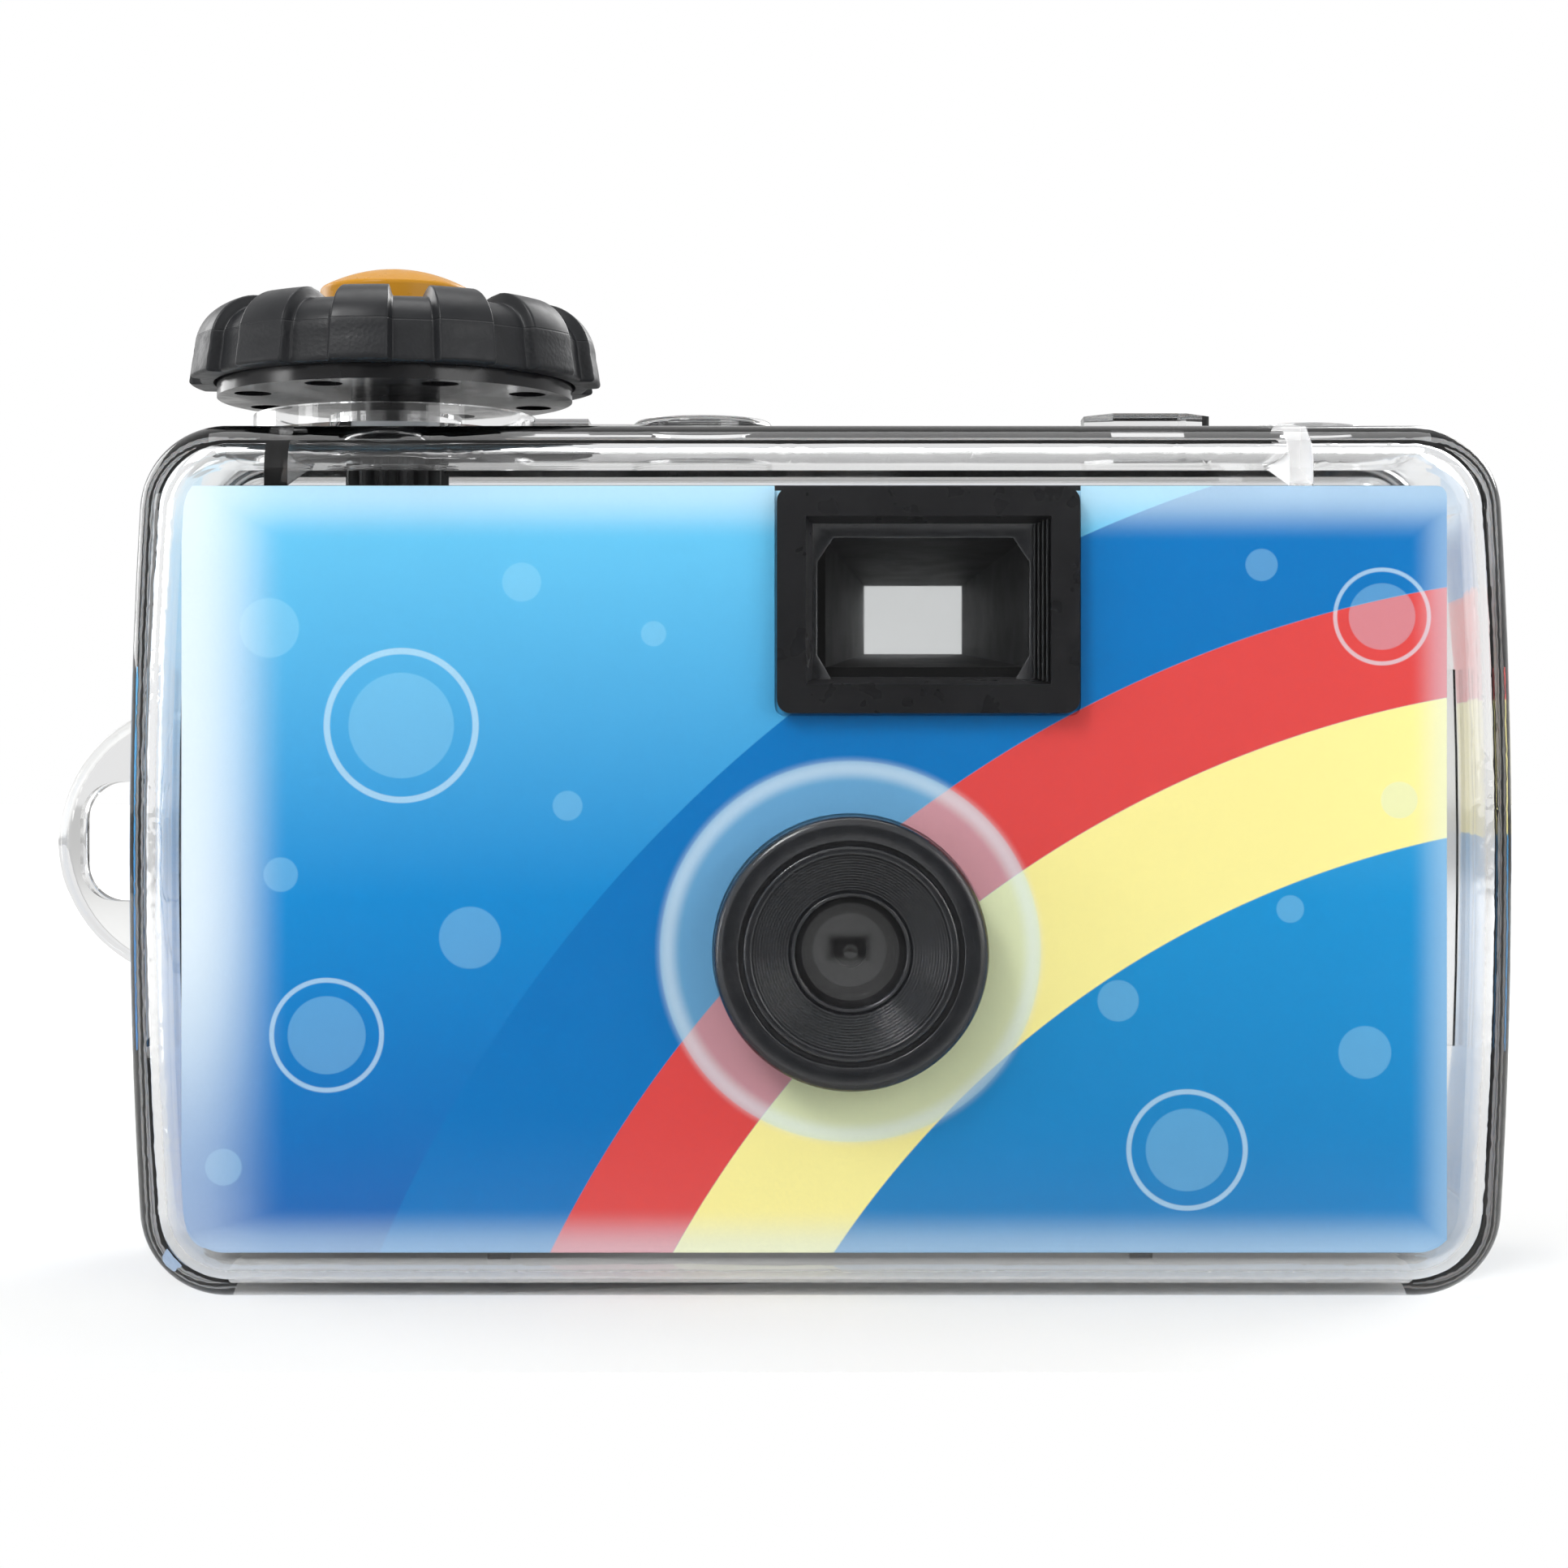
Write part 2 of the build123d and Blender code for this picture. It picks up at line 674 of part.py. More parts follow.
# One raised band, over the shoulder and down the side, centred on the X axis
with BuildPart() as grip_lobe:
    with BuildSketch(Plane.XZ.rotated((0, 0, -lobe_angle / 2))):
        with BuildLine():
            Polyline(
                (shoulder_radius, grip_top_z + lobe_height),
                (button_radius + grip_shoulder_radius, grip_top_z),
                (button_radius + grip_shoulder_radius, grip_top_z - grip_top_wall / 2),
                (shoulder_radius, grip_top_z - grip_top_wall / 2),
                (skirt_radius, shoulder_z),
                (skirt_radius, grip_bottom_z),
                (grip_radius + lobe_height, grip_bottom_z),
                (grip_radius + lobe_height - grip_taper, shoulder_z),
            )
            RadiusArc(
                (grip_radius + lobe_height - grip_taper, shoulder_z),
                (shoulder_radius, grip_top_z + lobe_height),
                -grip_shoulder_radius - lobe_height,
            )
        make_face()
    revolve(axis=Axis.Z, revolution_arc=lobe_angle)

with BuildPart() as knob_grip:
    with BuildSketch(knob_section):
        with BuildLine():
            Polyline(
                (shoulder_radius, grip_top_z),
                (button_radius + well_clearance, grip_top_z),
                (button_radius + well_clearance, lip_bottom_z),
                (shoulder_radius, lip_bottom_z),
                (skirt_radius - grip_taper, shoulder_z),
                (skirt_radius, grip_bottom_z),
                (grip_radius, grip_bottom_z),
                (grip_radius - grip_taper, shoulder_z),
            )
            RadiusArc(
                (grip_radius - grip_taper, shoulder_z),
                (shoulder_radius, grip_top_z),
                -grip_shoulder_radius,
            )
        make_face()
    revolve(axis=knob_axis)
    with Locations((knob_x, knob_y, 0)):
        with PolarLocations(0, lobe_count, start_angle=lobe_phase):
            add(grip_lobe.part)
knob_grip.part.label = "knob_grip"

with BuildPart() as knob_body:
    with BuildSketch(knob_section):
        with BuildLine():
            Polyline(
                (rod_bore_radius, gear_bottom_z),
                (spigot_radius, gear_bottom_z),
                (spigot_radius, gear_top_z),
                (shaft_radius, gear_top_z),
                (shaft_radius, shaft_ring_z - ring_width / 2),
                (shaft_radius - ring_depth, shaft_ring_z - ring_width / 2),
                (shaft_radius - ring_depth, shaft_ring_z + ring_width / 2),
                (shaft_radius, shaft_ring_z + ring_width / 2),
                (shaft_radius, flange_bottom_z),
                (flange_radius, flange_bottom_z),
                (flange_radius, flange_bottom_z + flange_thickness),
                (hub_radius, flange_bottom_z + flange_thickness),
                (hub_radius, lip_bottom_z),
                (button_flange_radius + well_clearance, lip_bottom_z),
                (button_flange_radius + well_clearance, well_floor_z),
                (knob_bore_radius, well_floor_z),
                (knob_bore_radius, knob_bore_z),
                (rod_bore_radius, knob_bore_z),
                close=True,
            )
        make_face()
    revolve(axis=knob_axis)
    with BuildSketch(Plane.XY.offset(flange_bottom_z - cut_overrun)):
        with Locations((knob_x, knob_y)):
            with PolarLocations(flange_hole_circle, flange_hole_count, start_angle=flange_hole_phase):
                Circle(flange_hole_radius)
    extrude(amount=flange_thickness + 2 * cut_overrun, mode=Mode.SUBTRACT)
knob_body.part.label = "knob_body"

plunger_radius = knob_bore_radius - running_fit
button_dome_radius = dome_radius(button_radius, button_top_z - button_side_z)
with BuildPart() as shutter_button:
    with BuildSketch(knob_section) as button_section:
        with BuildLine():
            Polyline(
                (button_radius, button_side_z),
                (button_radius, button_flange_z + button_flange_thickness),
                (button_flange_radius, button_flange_z + button_flange_thickness),
                (button_flange_radius, button_flange_z),
                (button_radius - button_wall, button_flange_z),
                (button_radius - button_wall, button_ceiling_z),
                (plunger_radius + socket_wall, button_ceiling_z),
                (plunger_radius + socket_wall, button_flange_z + button_flange_thickness),
                (plunger_radius, button_flange_z + button_flange_thickness),
                (plunger_radius, button_ceiling_z),
                (0, button_ceiling_z),
                (0, button_top_z),
            )
            RadiusArc((0, button_top_z), (button_radius, button_side_z), button_dome_radius)
        make_face()
        button_corner = Vector(button_radius, button_side_z)
        fillet(button_section.vertices().sort_by_distance(button_corner)[0], button_edge_radius)
    revolve(axis=knob_axis)
shutter_button.part.label = "shutter_button"

plunger_head_z = knob_bore_z + button_travel + part_gap
plunger_ring_z = (plunger_head_z + well_floor_z) / 2
with BuildPart() as plunger:
    with BuildSketch(knob_section):
        with BuildLine():
            Polyline(
                (0, rod_end_z),
                (rod_bore_radius - running_fit, rod_end_z),
                (rod_bore_radius - running_fit, plunger_head_z),
                (plunger_radius, plunger_head_z),
                (plunger_radius, plunger_ring_z - plunger_ring_width / 2),
                (plunger_radius - plunger_ring_depth, plunger_ring_z - plunger_ring_width / 2),
                (plunger_radius - plunger_ring_depth, plunger_ring_z + plunger_ring_width / 2),
                (plunger_radius, plunger_ring_z + plunger_ring_width / 2),
                (plunger_radius, button_ceiling_z),
                (0, button_ceiling_z),
                close=True,
            )
        make_face()
    revolve(axis=knob_axis)
plunger.part.label = "plunger"

with BuildPart() as plunger_o_ring:
    with BuildSketch(knob_section) as plunger_ring_section:
        with Locations((plunger_radius - (plunger_ring_depth - running_fit / 2) / 2, plunger_ring_z)):
            Rectangle(plunger_ring_depth + running_fit / 2, plunger_ring_width - ring_slack)
        fillet(plunger_ring_section.vertices(), plunger_ring_depth * ring_round_share)
    revolve(axis=knob_axis)
plunger_o_ring.part.label = "plunger_o_ring"

with BuildPart() as shaft_o_ring:
    with BuildSketch(knob_section) as shaft_ring_section:
        with Locations((shaft_radius - (ring_depth - running_fit / 2) / 2, shaft_ring_z)):
            Rectangle(ring_depth + running_fit / 2, ring_width - ring_slack)
        fillet(shaft_ring_section.vertices(), ring_depth * ring_round_share)
    revolve(axis=knob_axis)
shaft_o_ring.part.label = "shaft_o_ring"

spring_height = button_ceiling_z - well_floor_z - spring_wire - 2 * running_fit
with BuildPart() as button_spring:
    with BuildLine(Plane((knob_x, knob_y, well_floor_z + spring_wire / 2 + running_fit))) as spring_path:
        Helix(pitch=spring_height / spring_turns, height=spring_height, radius=spring_radius)
    with BuildSketch(Plane(origin=spring_path.line @ 0, z_dir=spring_path.line % 0)):
        Circle(spring_wire / 2)
    sweep()
button_spring.part.label = "button_spring"
print("least gap between the button spring's turns", spring_height / spring_turns - spring_wire)

# The gear pair and the camera's winding wheel

with BuildPart() as drive_pinion:
    with BuildSketch(Plane((knob_x, knob_y, gear_bottom_z))):
        Polygon(*gear_outline(pinion_teeth, pinion_angle), align=None)
        Circle(spigot_radius, mode=Mode.SUBTRACT)
    extrude(amount=gear_thickness)
drive_pinion.part.label = "drive_pinion"

with BuildPart() as wind_gear:
    with BuildSketch(Plane((spool_x, spool_y, gear_bottom_z))):
        Polygon(*gear_outline(wind_gear_teeth, pinion_angle + 180 + 180 / wind_gear_teeth), align=None)
        Circle(gear_seat_radius, mode=Mode.SUBTRACT)
    extrude(amount=gear_thickness)
wind_gear.part.label = "wind_gear"

spool_plane = Plane((spool_x, spool_y, 0))
with BuildPart() as wind_wheel:
    with BuildSketch(spool_plane.offset(cassette_top_z)):
        Circle(wheel_hub_radius)
    extrude(amount=gear_bottom_z - cassette_top_z)
    with BuildSketch(spool_plane.offset(gear_bottom_z)):
        Circle(gear_seat_radius)
    extrude(amount=gear_thickness)
    with BuildSketch(spool_plane.offset(wheel_z)):
        Circle(wheel_radius)
        with PolarLocations(wheel_radius, wheel_notches):
            RegularPolygon(wheel_notch_depth, 4, mode=Mode.SUBTRACT)
    extrude(amount=wheel_thickness)
    # Slot across the end of the hub, for the bar in the spool
    with BuildSketch(spool_plane.offset(cassette_top_z)):
        Rectangle(2 * wheel_radius, spool_key_width + 2 * running_fit)
    extrude(amount=spool_key_width, mode=Mode.SUBTRACT)
wind_wheel.part.label = "wind_wheel"

with BuildPart() as release_button:
    with BuildSketch(Plane((knob_x, knob_y, camera_top_z - release_thickness))):
        Circle(release_pad_radius)
        with Locations((release_post_x, release_post_y)):
            Circle(release_post_radius)
        make_hull()
    extrude(amount=release_thickness)
    with BuildSketch(Plane((knob_x, knob_y, release_post_end_z))):
        with Locations((release_post_x, release_post_y)):
            Circle(release_post_radius)
    extrude(amount=camera_top_z - release_thickness - release_post_end_z)
release_button.part.label = "release_button"

with BuildPart() as latch_lever:
    with BuildSketch(Plane.XZ.offset(-latch_y - latch_thickness / 2)):
        with Locations((latch_x, latch_z)):
            Circle(latch_width * 2 / 3)
        with Locations((knob_x + release_post_x, latch_z)):
            Circle(latch_width / 2)
        make_hull()
    extrude(amount=latch_thickness)
    with BuildSketch(Plane.XZ.offset(-latch_y - latch_thickness / 2)):
        with Locations((latch_x, latch_z)):
            Circle(latch_width * 2 / 3)
        with Locations((latch_x + latch_right_length, latch_z - latch_width / 2)):
            Circle(latch_width / 3)
        make_hull()
    extrude(amount=latch_thickness)
    with BuildSketch(Plane.XZ.offset(-latch_y - latch_thickness)):
        with Locations((latch_x, latch_z)):
            Circle(pivot_radius + running_fit)
    extrude(amount=2 * latch_thickness, mode=Mode.SUBTRACT)
latch_lever.part.label = "latch_lever"


# The camera's covers and its printed sleeve

def camera_block(side_inset, end_inset):
    """Camera body with rounded corners in front view and in plan, set in by two amounts."""
    with BuildPart() as block:
        with BuildSketch(Plane.XZ.offset(-camera_back_y + side_inset)):
            with Locations((camera_centre_x, camera_bottom_z + camera_height / 2)):
                RectangleRounded(
                    camera_width - 2 * side_inset,
                    camera_height - 2 * end_inset,
                    camera_corner_radius - side_inset,
                )
        extrude(amount=camera_back_y - camera_front_y - 2 * side_inset)
        with BuildSketch(Plane.XY.offset(camera_bottom_z)):
            with Locations((camera_centre_x, (camera_front_y + camera_back_y) / 2)):
                RectangleRounded(
                    camera_width - 2 * side_inset,
                    camera_back_y - camera_front_y - 2 * side_inset,
                    camera_plan_radius - side_inset,
                )
        extrude(amount=camera_height, mode=Mode.INTERSECT)
    return block.part


# Every opening that goes through the sleeve and the cover behind it
with BuildPart() as camera_openings:
    with BuildSketch(Plane.XZ.offset(-camera_front_y + cut_overrun)):
        with Locations((lens_x, lens_z)):
            Circle(ring_spigot_radius + running_fit)
    extrude(amount=-2 * cover_wall - cut_overrun)
    with BuildSketch(Plane.XZ.offset(-camera_front_y + cut_overrun)):
        with Locations((finder_x, finder_z)):
            Rectangle(
                finder_body_width + 2 * finder_body_clearance,
                finder_body_height + 2 * finder_body_clearance,
            )
    extrude(amount=-2 * cover_wall - cut_overrun)
    with BuildSketch(Plane.XZ.offset(-camera_back_y - cut_overrun)):
        with Locations((finder_x, finder_z)):
            Rectangle(
                finder_back_width + 2 * finder_body_clearance,
                finder_back_height + 2 * finder_body_clearance,
            )
    extrude(amount=2 * cover_wall + cut_overrun)
    with BuildSketch(spool_plane.offset(wheel_z - part_gap)):
        Circle(wheel_radius + part_gap)
    extrude(amount=wheel_thickness + 2 * part_gap)

with BuildPart() as card_sleeve:
    add(camera_block(0, 0))
    add(camera_block(sleeve_thickness, 0), mode=Mode.SUBTRACT)
    with BuildSketch(Plane.XY.offset(camera_bottom_z + sleeve_margin)):
        with Locations((camera_centre_x, (camera_front_y + camera_back_y) / 2)):
            Rectangle(2 * camera_width, 2 * camera_width)
    extrude(amount=camera_height - 2 * sleeve_margin, mode=Mode.INTERSECT)
    add(camera_openings.part, mode=Mode.SUBTRACT)
card_sleeve.part.label = "card_sleeve"

with BuildPart() as cover_shell:
    add(camera_block(sleeve_thickness, 0))
    add(camera_block(sleeve_thickness + cover_wall, cover_wall), mode=Mode.SUBTRACT)
    add(camera_openings.part, mode=Mode.SUBTRACT)
    # Openings in the top for the winding hub, the release bar and the counter window
    with BuildSketch(Plane.XY.offset(camera_top_z - 2 * cover_wall)):
        with Locations((spool_x, spool_y)):
            Circle(wheel_hub_radius + running_fit)
        with Locations((boss_x, boss_y)):
            Circle(counter_window_radius)
    extrude(amount=2 * cover_wall + cut_overrun, mode=Mode.SUBTRACT)
    with BuildSketch(Plane((knob_x, knob_y, camera_top_z - 2 * cover_wall))):
        Circle(release_pad_radius + release_clearance)
        with Locations((release_post_x, release_post_y)):
            Circle(release_post_radius + release_clearance)
        make_hull()
    extrude(amount=2 * cover_wall + cut_overrun, mode=Mode.SUBTRACT)

with BuildPart() as front_cover:
    add(cover_shell.part)
    split(bisect_by=Plane.XZ.offset(-cover_split_y), keep=Keep.TOP)
front_cover.part.label = "front_cover"

with BuildPart() as rear_cover:
    add(cover_shell.part)
    split(bisect_by=Plane.XZ.offset(-cover_split_y), keep=Keep.BOTTOM)
    # Pad that holds the film flat against the gate
    with BuildSketch(Plane.XZ.offset(-film_y - film_thickness - film_slack)):
        with Locations((lens_x, lens_z)):
            Rectangle(gate_width + 2 * gate_rail, film_width)
            with GridLocations(0, pad_groove_pitch, 1, pad_grooves):
                Rectangle(gate_width + 4 * gate_rail, pad_groove_pitch / 2, mode=Mode.SUBTRACT)
    extrude(amount=-(cover_back_y - cover_wall / 2 - film_y - film_thickness - film_slack))
rear_cover.part.label = "rear_cover"

with BuildPart() as counter_window:
    with BuildSketch(Plane((boss_x, boss_y, camera_top_z - cover_wall))):
        Circle(counter_window_radius)
    extrude(amount=cover_wall)
counter_window.part.label = "counter_window"

# The chassis

supply_plane = Plane((supply_x, supply_y, 0))
sprocket_plane = Plane((sprocket_x, sprocket_y, 0))
counter_plane = Plane((counter_x, counter_y, 0))
gate_left_x = spool_x + lip_length + part_gap
gate_right_x = lens_x + gate_width / 2 + 2 * gate_rail
gate_front_y = film_y - gate_thickness
rail_bottom_z = film_bottom_z - part_gap - gate_thickness / 2
rail_top_z = film_top_z + part_gap + gate_thickness / 2
shutter_back_y = shutter_plate_y + plate_thickness
supply_floor_z = film_bottom_z - 2 * part_gap - spool_flange_thickness
deck_edge_x = gate_left_x - 2 * plate_thickness
blade_pivot = (lens_x + blade_pivot_x, lens_z + blade_pivot_z)
striker_pivot = (lens_x + striker_pivot_x, lens_z + striker_pivot_z)

with BuildPart() as tunnel_bore:
    with BuildSketch(Plane.XZ.offset(-gate_front_y)):
        with Locations((lens_x, lens_z)):
            Rectangle(gate_width, gate_height)
    with BuildSketch(Plane.XZ.offset(-shutter_back_y)):
        with Locations((lens_x, lens_z)):
            Rectangle(tunnel_front_width, tunnel_front_height)
    loft()

with BuildPart() as chassis:
    # Film gate, with rails above and below the film
    with BuildSketch(Plane.XZ.offset(-film_y)):
        with Locations(((gate_left_x + gate_right_x) / 2, (rail_bottom_z + rail_top_z) / 2)):
            Rectangle(gate_right_x - gate_left_x, rail_top_z - rail_bottom_z)
    extrude(amount=gate_thickness)
    for rail_z in (rail_bottom_z, rail_top_z - gate_thickness / 2):
        with BuildSketch(Plane.XY.offset(rail_z)):
            with Locations(((gate_left_x + gate_right_x) / 2, film_y)):
                Rectangle(gate_right_x - gate_left_x, 2 * (film_thickness + film_slack))
        extrude(amount=gate_thickness / 2)
    # Light tunnel from the shutter to the gate
    with BuildSketch(Plane.XZ.offset(-gate_front_y)):
        with Locations((lens_x, lens_z)):
            Rectangle(gate_width + 2 * plate_thickness, gate_height + 2 * plate_thickness)
    with BuildSketch(Plane.XZ.offset(-shutter_back_y)):
        with Locations((lens_x, lens_z)):
            Rectangle(tunnel_front_width + 2 * plate_thickness, tunnel_front_height + 2 * plate_thickness)
    loft()
    # Plate that carries the shutter, and the decks over the film
    with BuildSketch(Plane.XZ.offset(-shutter_back_y)):
        with Locations(((gate_left_x + gate_right_x) / 2, (rail_bottom_z + low_deck_z) / 2)):
            Rectangle(gate_right_x - gate_left_x, low_deck_z - rail_bottom_z)
    extrude(amount=plate_thickness)
    with BuildSketch(Plane.XY.offset(low_deck_z)):
        with Locations(((deck_edge_x + supply_x) / 2, (latch_back_y + film_y) / 2)):
            Rectangle(supply_x - deck_edge_x, film_y - latch_back_y)
        with Locations((supply_x, supply_y)):
            Circle(supply_chamber_radius + chamber_wall)
    extrude(amount=deck_thickness)
    with BuildSketch(Plane.XY.offset(low_deck_z)):
        with Locations((deck_edge_x + plate_thickness / 2, (latch_back_y + film_y) / 2)):
            Rectangle(plate_thickness, film_y - latch_back_y)
    extrude(amount=deck_z + deck_thickness - low_deck_z)
    with BuildSketch(Plane.XY.offset(deck_z)):
        with Locations((spool_x, spool_y)):
            Circle(cassette_chamber_radius + chamber_wall)
        with Locations(((spool_x + deck_edge_x + plate_thickness) / 2, (latch_back_y + film_y) / 2)):
            Rectangle(deck_edge_x + plate_thickness - spool_x, film_y - latch_back_y)
    extrude(amount=deck_thickness)
    # Round walls and floors of the cassette and supply chambers
    with BuildSketch(Plane.XY.offset(cover_floor_z)) as chamber_walls:
        with Locations((spool_x, spool_y)):
            Circle(cassette_chamber_radius + chamber_wall)
            Circle(cassette_chamber_radius, mode=Mode.SUBTRACT)
            with Locations((cassette_radius, cassette_radius)):
                Rectangle(2 * cassette_radius, 3 * cassette_radius, mode=Mode.SUBTRACT)
            with Locations((0, cassette_radius)):
                Rectangle(3 * cassette_radius, 2 * cassette_radius, mode=Mode.SUBTRACT)
    extrude(amount=deck_z - cover_floor_z)
    with BuildSketch(Plane.XY.offset(cover_floor_z)):
        with Locations((supply_x, supply_y)):
            Circle(supply_chamber_radius + chamber_wall)
            Circle(supply_chamber_radius, mode=Mode.SUBTRACT)
            with Locations((-supply_chamber_radius, supply_chamber_radius)):
                Rectangle(3 * supply_chamber_radius, 2 * supply_chamber_radius, mode=Mode.SUBTRACT)
    extrude(amount=low_deck_z - cover_floor_z)
    with BuildSketch(Plane.XY.offset(cassette_bottom_z - plate_thickness)):
        with Locations((spool_x, spool_y)):
            Circle(cassette_chamber_radius + chamber_wall)
            Circle(spool_end_radius, mode=Mode.SUBTRACT)
    extrude(amount=plate_thickness)
    with BuildSketch(Plane.XY.offset(supply_floor_z - plate_thickness)):
        with Locations((supply_x, supply_y)):
            Circle(supply_chamber_radius + chamber_wall)
    extrude(amount=plate_thickness)
    with BuildSketch(spool_plane.offset(cover_floor_z)):
        Rectangle(plate_thickness, 2 * cassette_radius)
    extrude(amount=cassette_bottom_z - plate_thickness - cover_floor_z)
    with BuildSketch(supply_plane.offset(cover_floor_z)):
        Rectangle(plate_thickness, 2 * supply_chamber_radius)
    extrude(amount=supply_floor_z - plate_thickness - cover_floor_z)
    # Shelf under the sprocket, and the post of the frame counter
    with BuildSketch(sprocket_plane.offset(sprocket_z - part_gap - plate_thickness)):
        Rectangle(4 * sprocket_shaft_radius, 2 * (gate_front_y - sprocket_y))
    extrude(amount=plate_thickness)
    with BuildSketch(counter_plane.offset(low_deck_z + deck_thickness)):
        Circle(2 * counter_post_radius)
    extrude(amount=counter_z - counter_hub_length - low_deck_z - deck_thickness)
    with BuildSketch(counter_plane.offset(low_deck_z + deck_thickness)):
        Circle(counter_post_radius)
    extrude(amount=counter_z + counter_thickness - low_deck_z - deck_thickness)
    # Bearings for the latch lever, the striker and the blade
    with BuildSketch(Plane.XZ.offset(-latch_back_y)):
        with Locations((latch_x, latch_z)):
            Circle(pivot_boss_radius)
    extrude(amount=latch_back_y - latch_y - latch_thickness / 2 - part_gap)
    with BuildSketch(Plane.XZ.offset(-latch_back_y)):
        with Locations((latch_x, latch_z)):
            Circle(pivot_radius)
    extrude(amount=latch_back_y - latch_y + latch_thickness / 2 + part_gap)
    with BuildSketch(Plane.XZ.offset(-shutter_plate_y)):
        with Locations(blade_pivot, striker_pivot):
            Circle(pivot_radius)
    extrude(amount=shutter_plate_y - aperture_plate_y - aperture_plate_thickness)
    # Posts that carry the aperture plate
    with BuildSketch(Plane.XZ.offset(-shutter_plate_y)):
        with Locations((lens_x, lens_z)):
            with GridLocations(aperture_post_spacing, aperture_plate_height - 2 * plate_thickness, 2, 2):
                Circle(plate_thickness)
    extrude(amount=shutter_plate_y - aperture_plate_y - aperture_plate_thickness)
    # Openings: tunnel, lens, sprocket, spools and hub
    add(tunnel_bore.part, mode=Mode.SUBTRACT)
    with BuildSketch(Plane.XZ.offset(-film_y - cut_overrun)):
        with Locations((lens_x, lens_z)):
            Rectangle(gate_width, gate_height)
    extrude(amount=gate_thickness + 2 * cut_overrun, mode=Mode.SUBTRACT)
    with BuildSketch(Plane.XZ.offset(-shutter_back_y - cut_overrun)):
        with Locations((lens_x, lens_z)):
            Circle(shutter_hole_radius)
    extrude(amount=plate_thickness + 2 * cut_overrun, mode=Mode.SUBTRACT)
    with BuildSketch(sprocket_plane.offset(sprocket_z - part_gap)):
        Circle(sprocket_radius + 2 * part_gap)
    extrude(amount=sprocket_thickness + 2 * part_gap, mode=Mode.SUBTRACT)
    with BuildSketch(sprocket_plane.offset(sprocket_z - part_gap - plate_thickness)):
        Circle(sprocket_shaft_radius + running_fit)
    extrude(amount=low_deck_z + deck_thickness - sprocket_z + 2 * plate_thickness, mode=Mode.SUBTRACT)
    with BuildSketch(supply_plane.offset(supply_floor_z - plate_thickness)):
        Circle(supply_pin_radius + running_fit)
    extrude(amount=low_deck_z + deck_thickness + plate_thickness - supply_floor_z + cut_overrun, mode=Mode.SUBTRACT)
    with BuildSketch(spool_plane.offset(deck_z - cut_overrun)):
        Circle(wheel_hub_radius + running_fit)
    extrude(amount=deck_thickness + 2 * cut_overrun, mode=Mode.SUBTRACT)
    add(camera_block(sleeve_thickness + cover_wall, cover_wall), mode=Mode.INTERSECT)
chassis.part.label = "chassis"

# The viewfinder

finder_back_y = cover_back_y
finder_ledge_y = finder_front_y + finder_bezel_depth + finder_window_thickness

with BuildPart() as finder_bore:
    with BuildSketch(Plane.XZ.offset(-finder_front_y)):
        with Locations((finder_x, finder_z)):
            Rectangle(finder_width - 2 * finder_bezel_wall, finder_height - 2 * finder_bezel_wall)
    with BuildSketch(Plane.XZ.offset(-finder_front_y - finder_bezel_depth)):
        with Locations((finder_x, finder_z)):
            Rectangle(finder_body_width - 2 * finder_wall, finder_body_height - 2 * finder_wall)
    loft()
    with BuildSketch(Plane.XZ.offset(-finder_ledge_y)):
        with Locations((finder_x, finder_z)):
            Rectangle(finder_body_width - 2 * finder_wall, finder_body_height - 2 * finder_wall)
    extrude(amount=finder_window_thickness)
    with BuildSketch(Plane.XZ.offset(-finder_ledge_y)):
        with Locations((finder_x, finder_z)):
            Rectangle(
                finder_body_width - 2 * finder_wall - 2 * finder_ledge,
                finder_body_height - 2 * finder_wall - 2 * finder_ledge,
            )
    with BuildSketch(Plane.XZ.offset(-finder_back_y + finder_window_thickness)):
        with Locations((finder_x, finder_z)):
            Rectangle(
                finder_back_width - 2 * finder_wall - 2 * finder_back_ledge,
                finder_back_height - 2 * finder_wall - 2 * finder_back_ledge,
            )
    loft()
    with BuildSketch(Plane.XZ.offset(-finder_back_y)):
        with Locations((finder_x, finder_z)):
            Rectangle(finder_back_width - 2 * finder_wall, finder_back_height - 2 * finder_wall)
    extrude(amount=finder_window_thickness)

with BuildPart() as viewfinder_frame:
    with BuildSketch(Plane.XZ.offset(-camera_front_y)):
        with Locations((finder_x, finder_z)):
            RectangleRounded(finder_width, finder_height, finder_corner_radius)
    extrude(amount=camera_front_y - finder_front_y)
    with BuildSketch(Plane.XZ.offset(-finder_ledge_y - finder_ledge)):
        with Locations((finder_x, finder_z)):
            Rectangle(finder_body_width, finder_body_height)
    extrude(amount=finder_ledge_y + finder_ledge - camera_front_y)
    with BuildSketch(Plane.XZ.offset(-finder_ledge_y - finder_ledge)):
        with Locations((finder_x, finder_z)):
            Rectangle(finder_body_width, finder_body_height)
    with BuildSketch(Plane.XZ.offset(-finder_back_y + 2 * cover_wall)):
        with Locations((finder_x, finder_z)):
            Rectangle(finder_back_width, finder_back_height)
    loft()
    with BuildSketch(Plane.XZ.offset(-finder_back_y)):
        with Locations((finder_x, finder_z)):
            Rectangle(finder_back_width, finder_back_height)
    extrude(amount=2 * cover_wall)
    add(finder_bore.part, mode=Mode.SUBTRACT)
viewfinder_frame.part.label = "viewfinder_frame"

with BuildPart() as viewfinder_lens:
    with BuildSketch(Plane.XZ.offset(-finder_ledge_y)):
        with Locations((finder_x, finder_z)):
            Rectangle(
                finder_body_width - 2 * finder_wall - 2 * running_fit,
                finder_body_height - 2 * finder_wall - 2 * running_fit,
            )
    extrude(amount=finder_window_thickness)
viewfinder_lens.part.label = "viewfinder_lens"

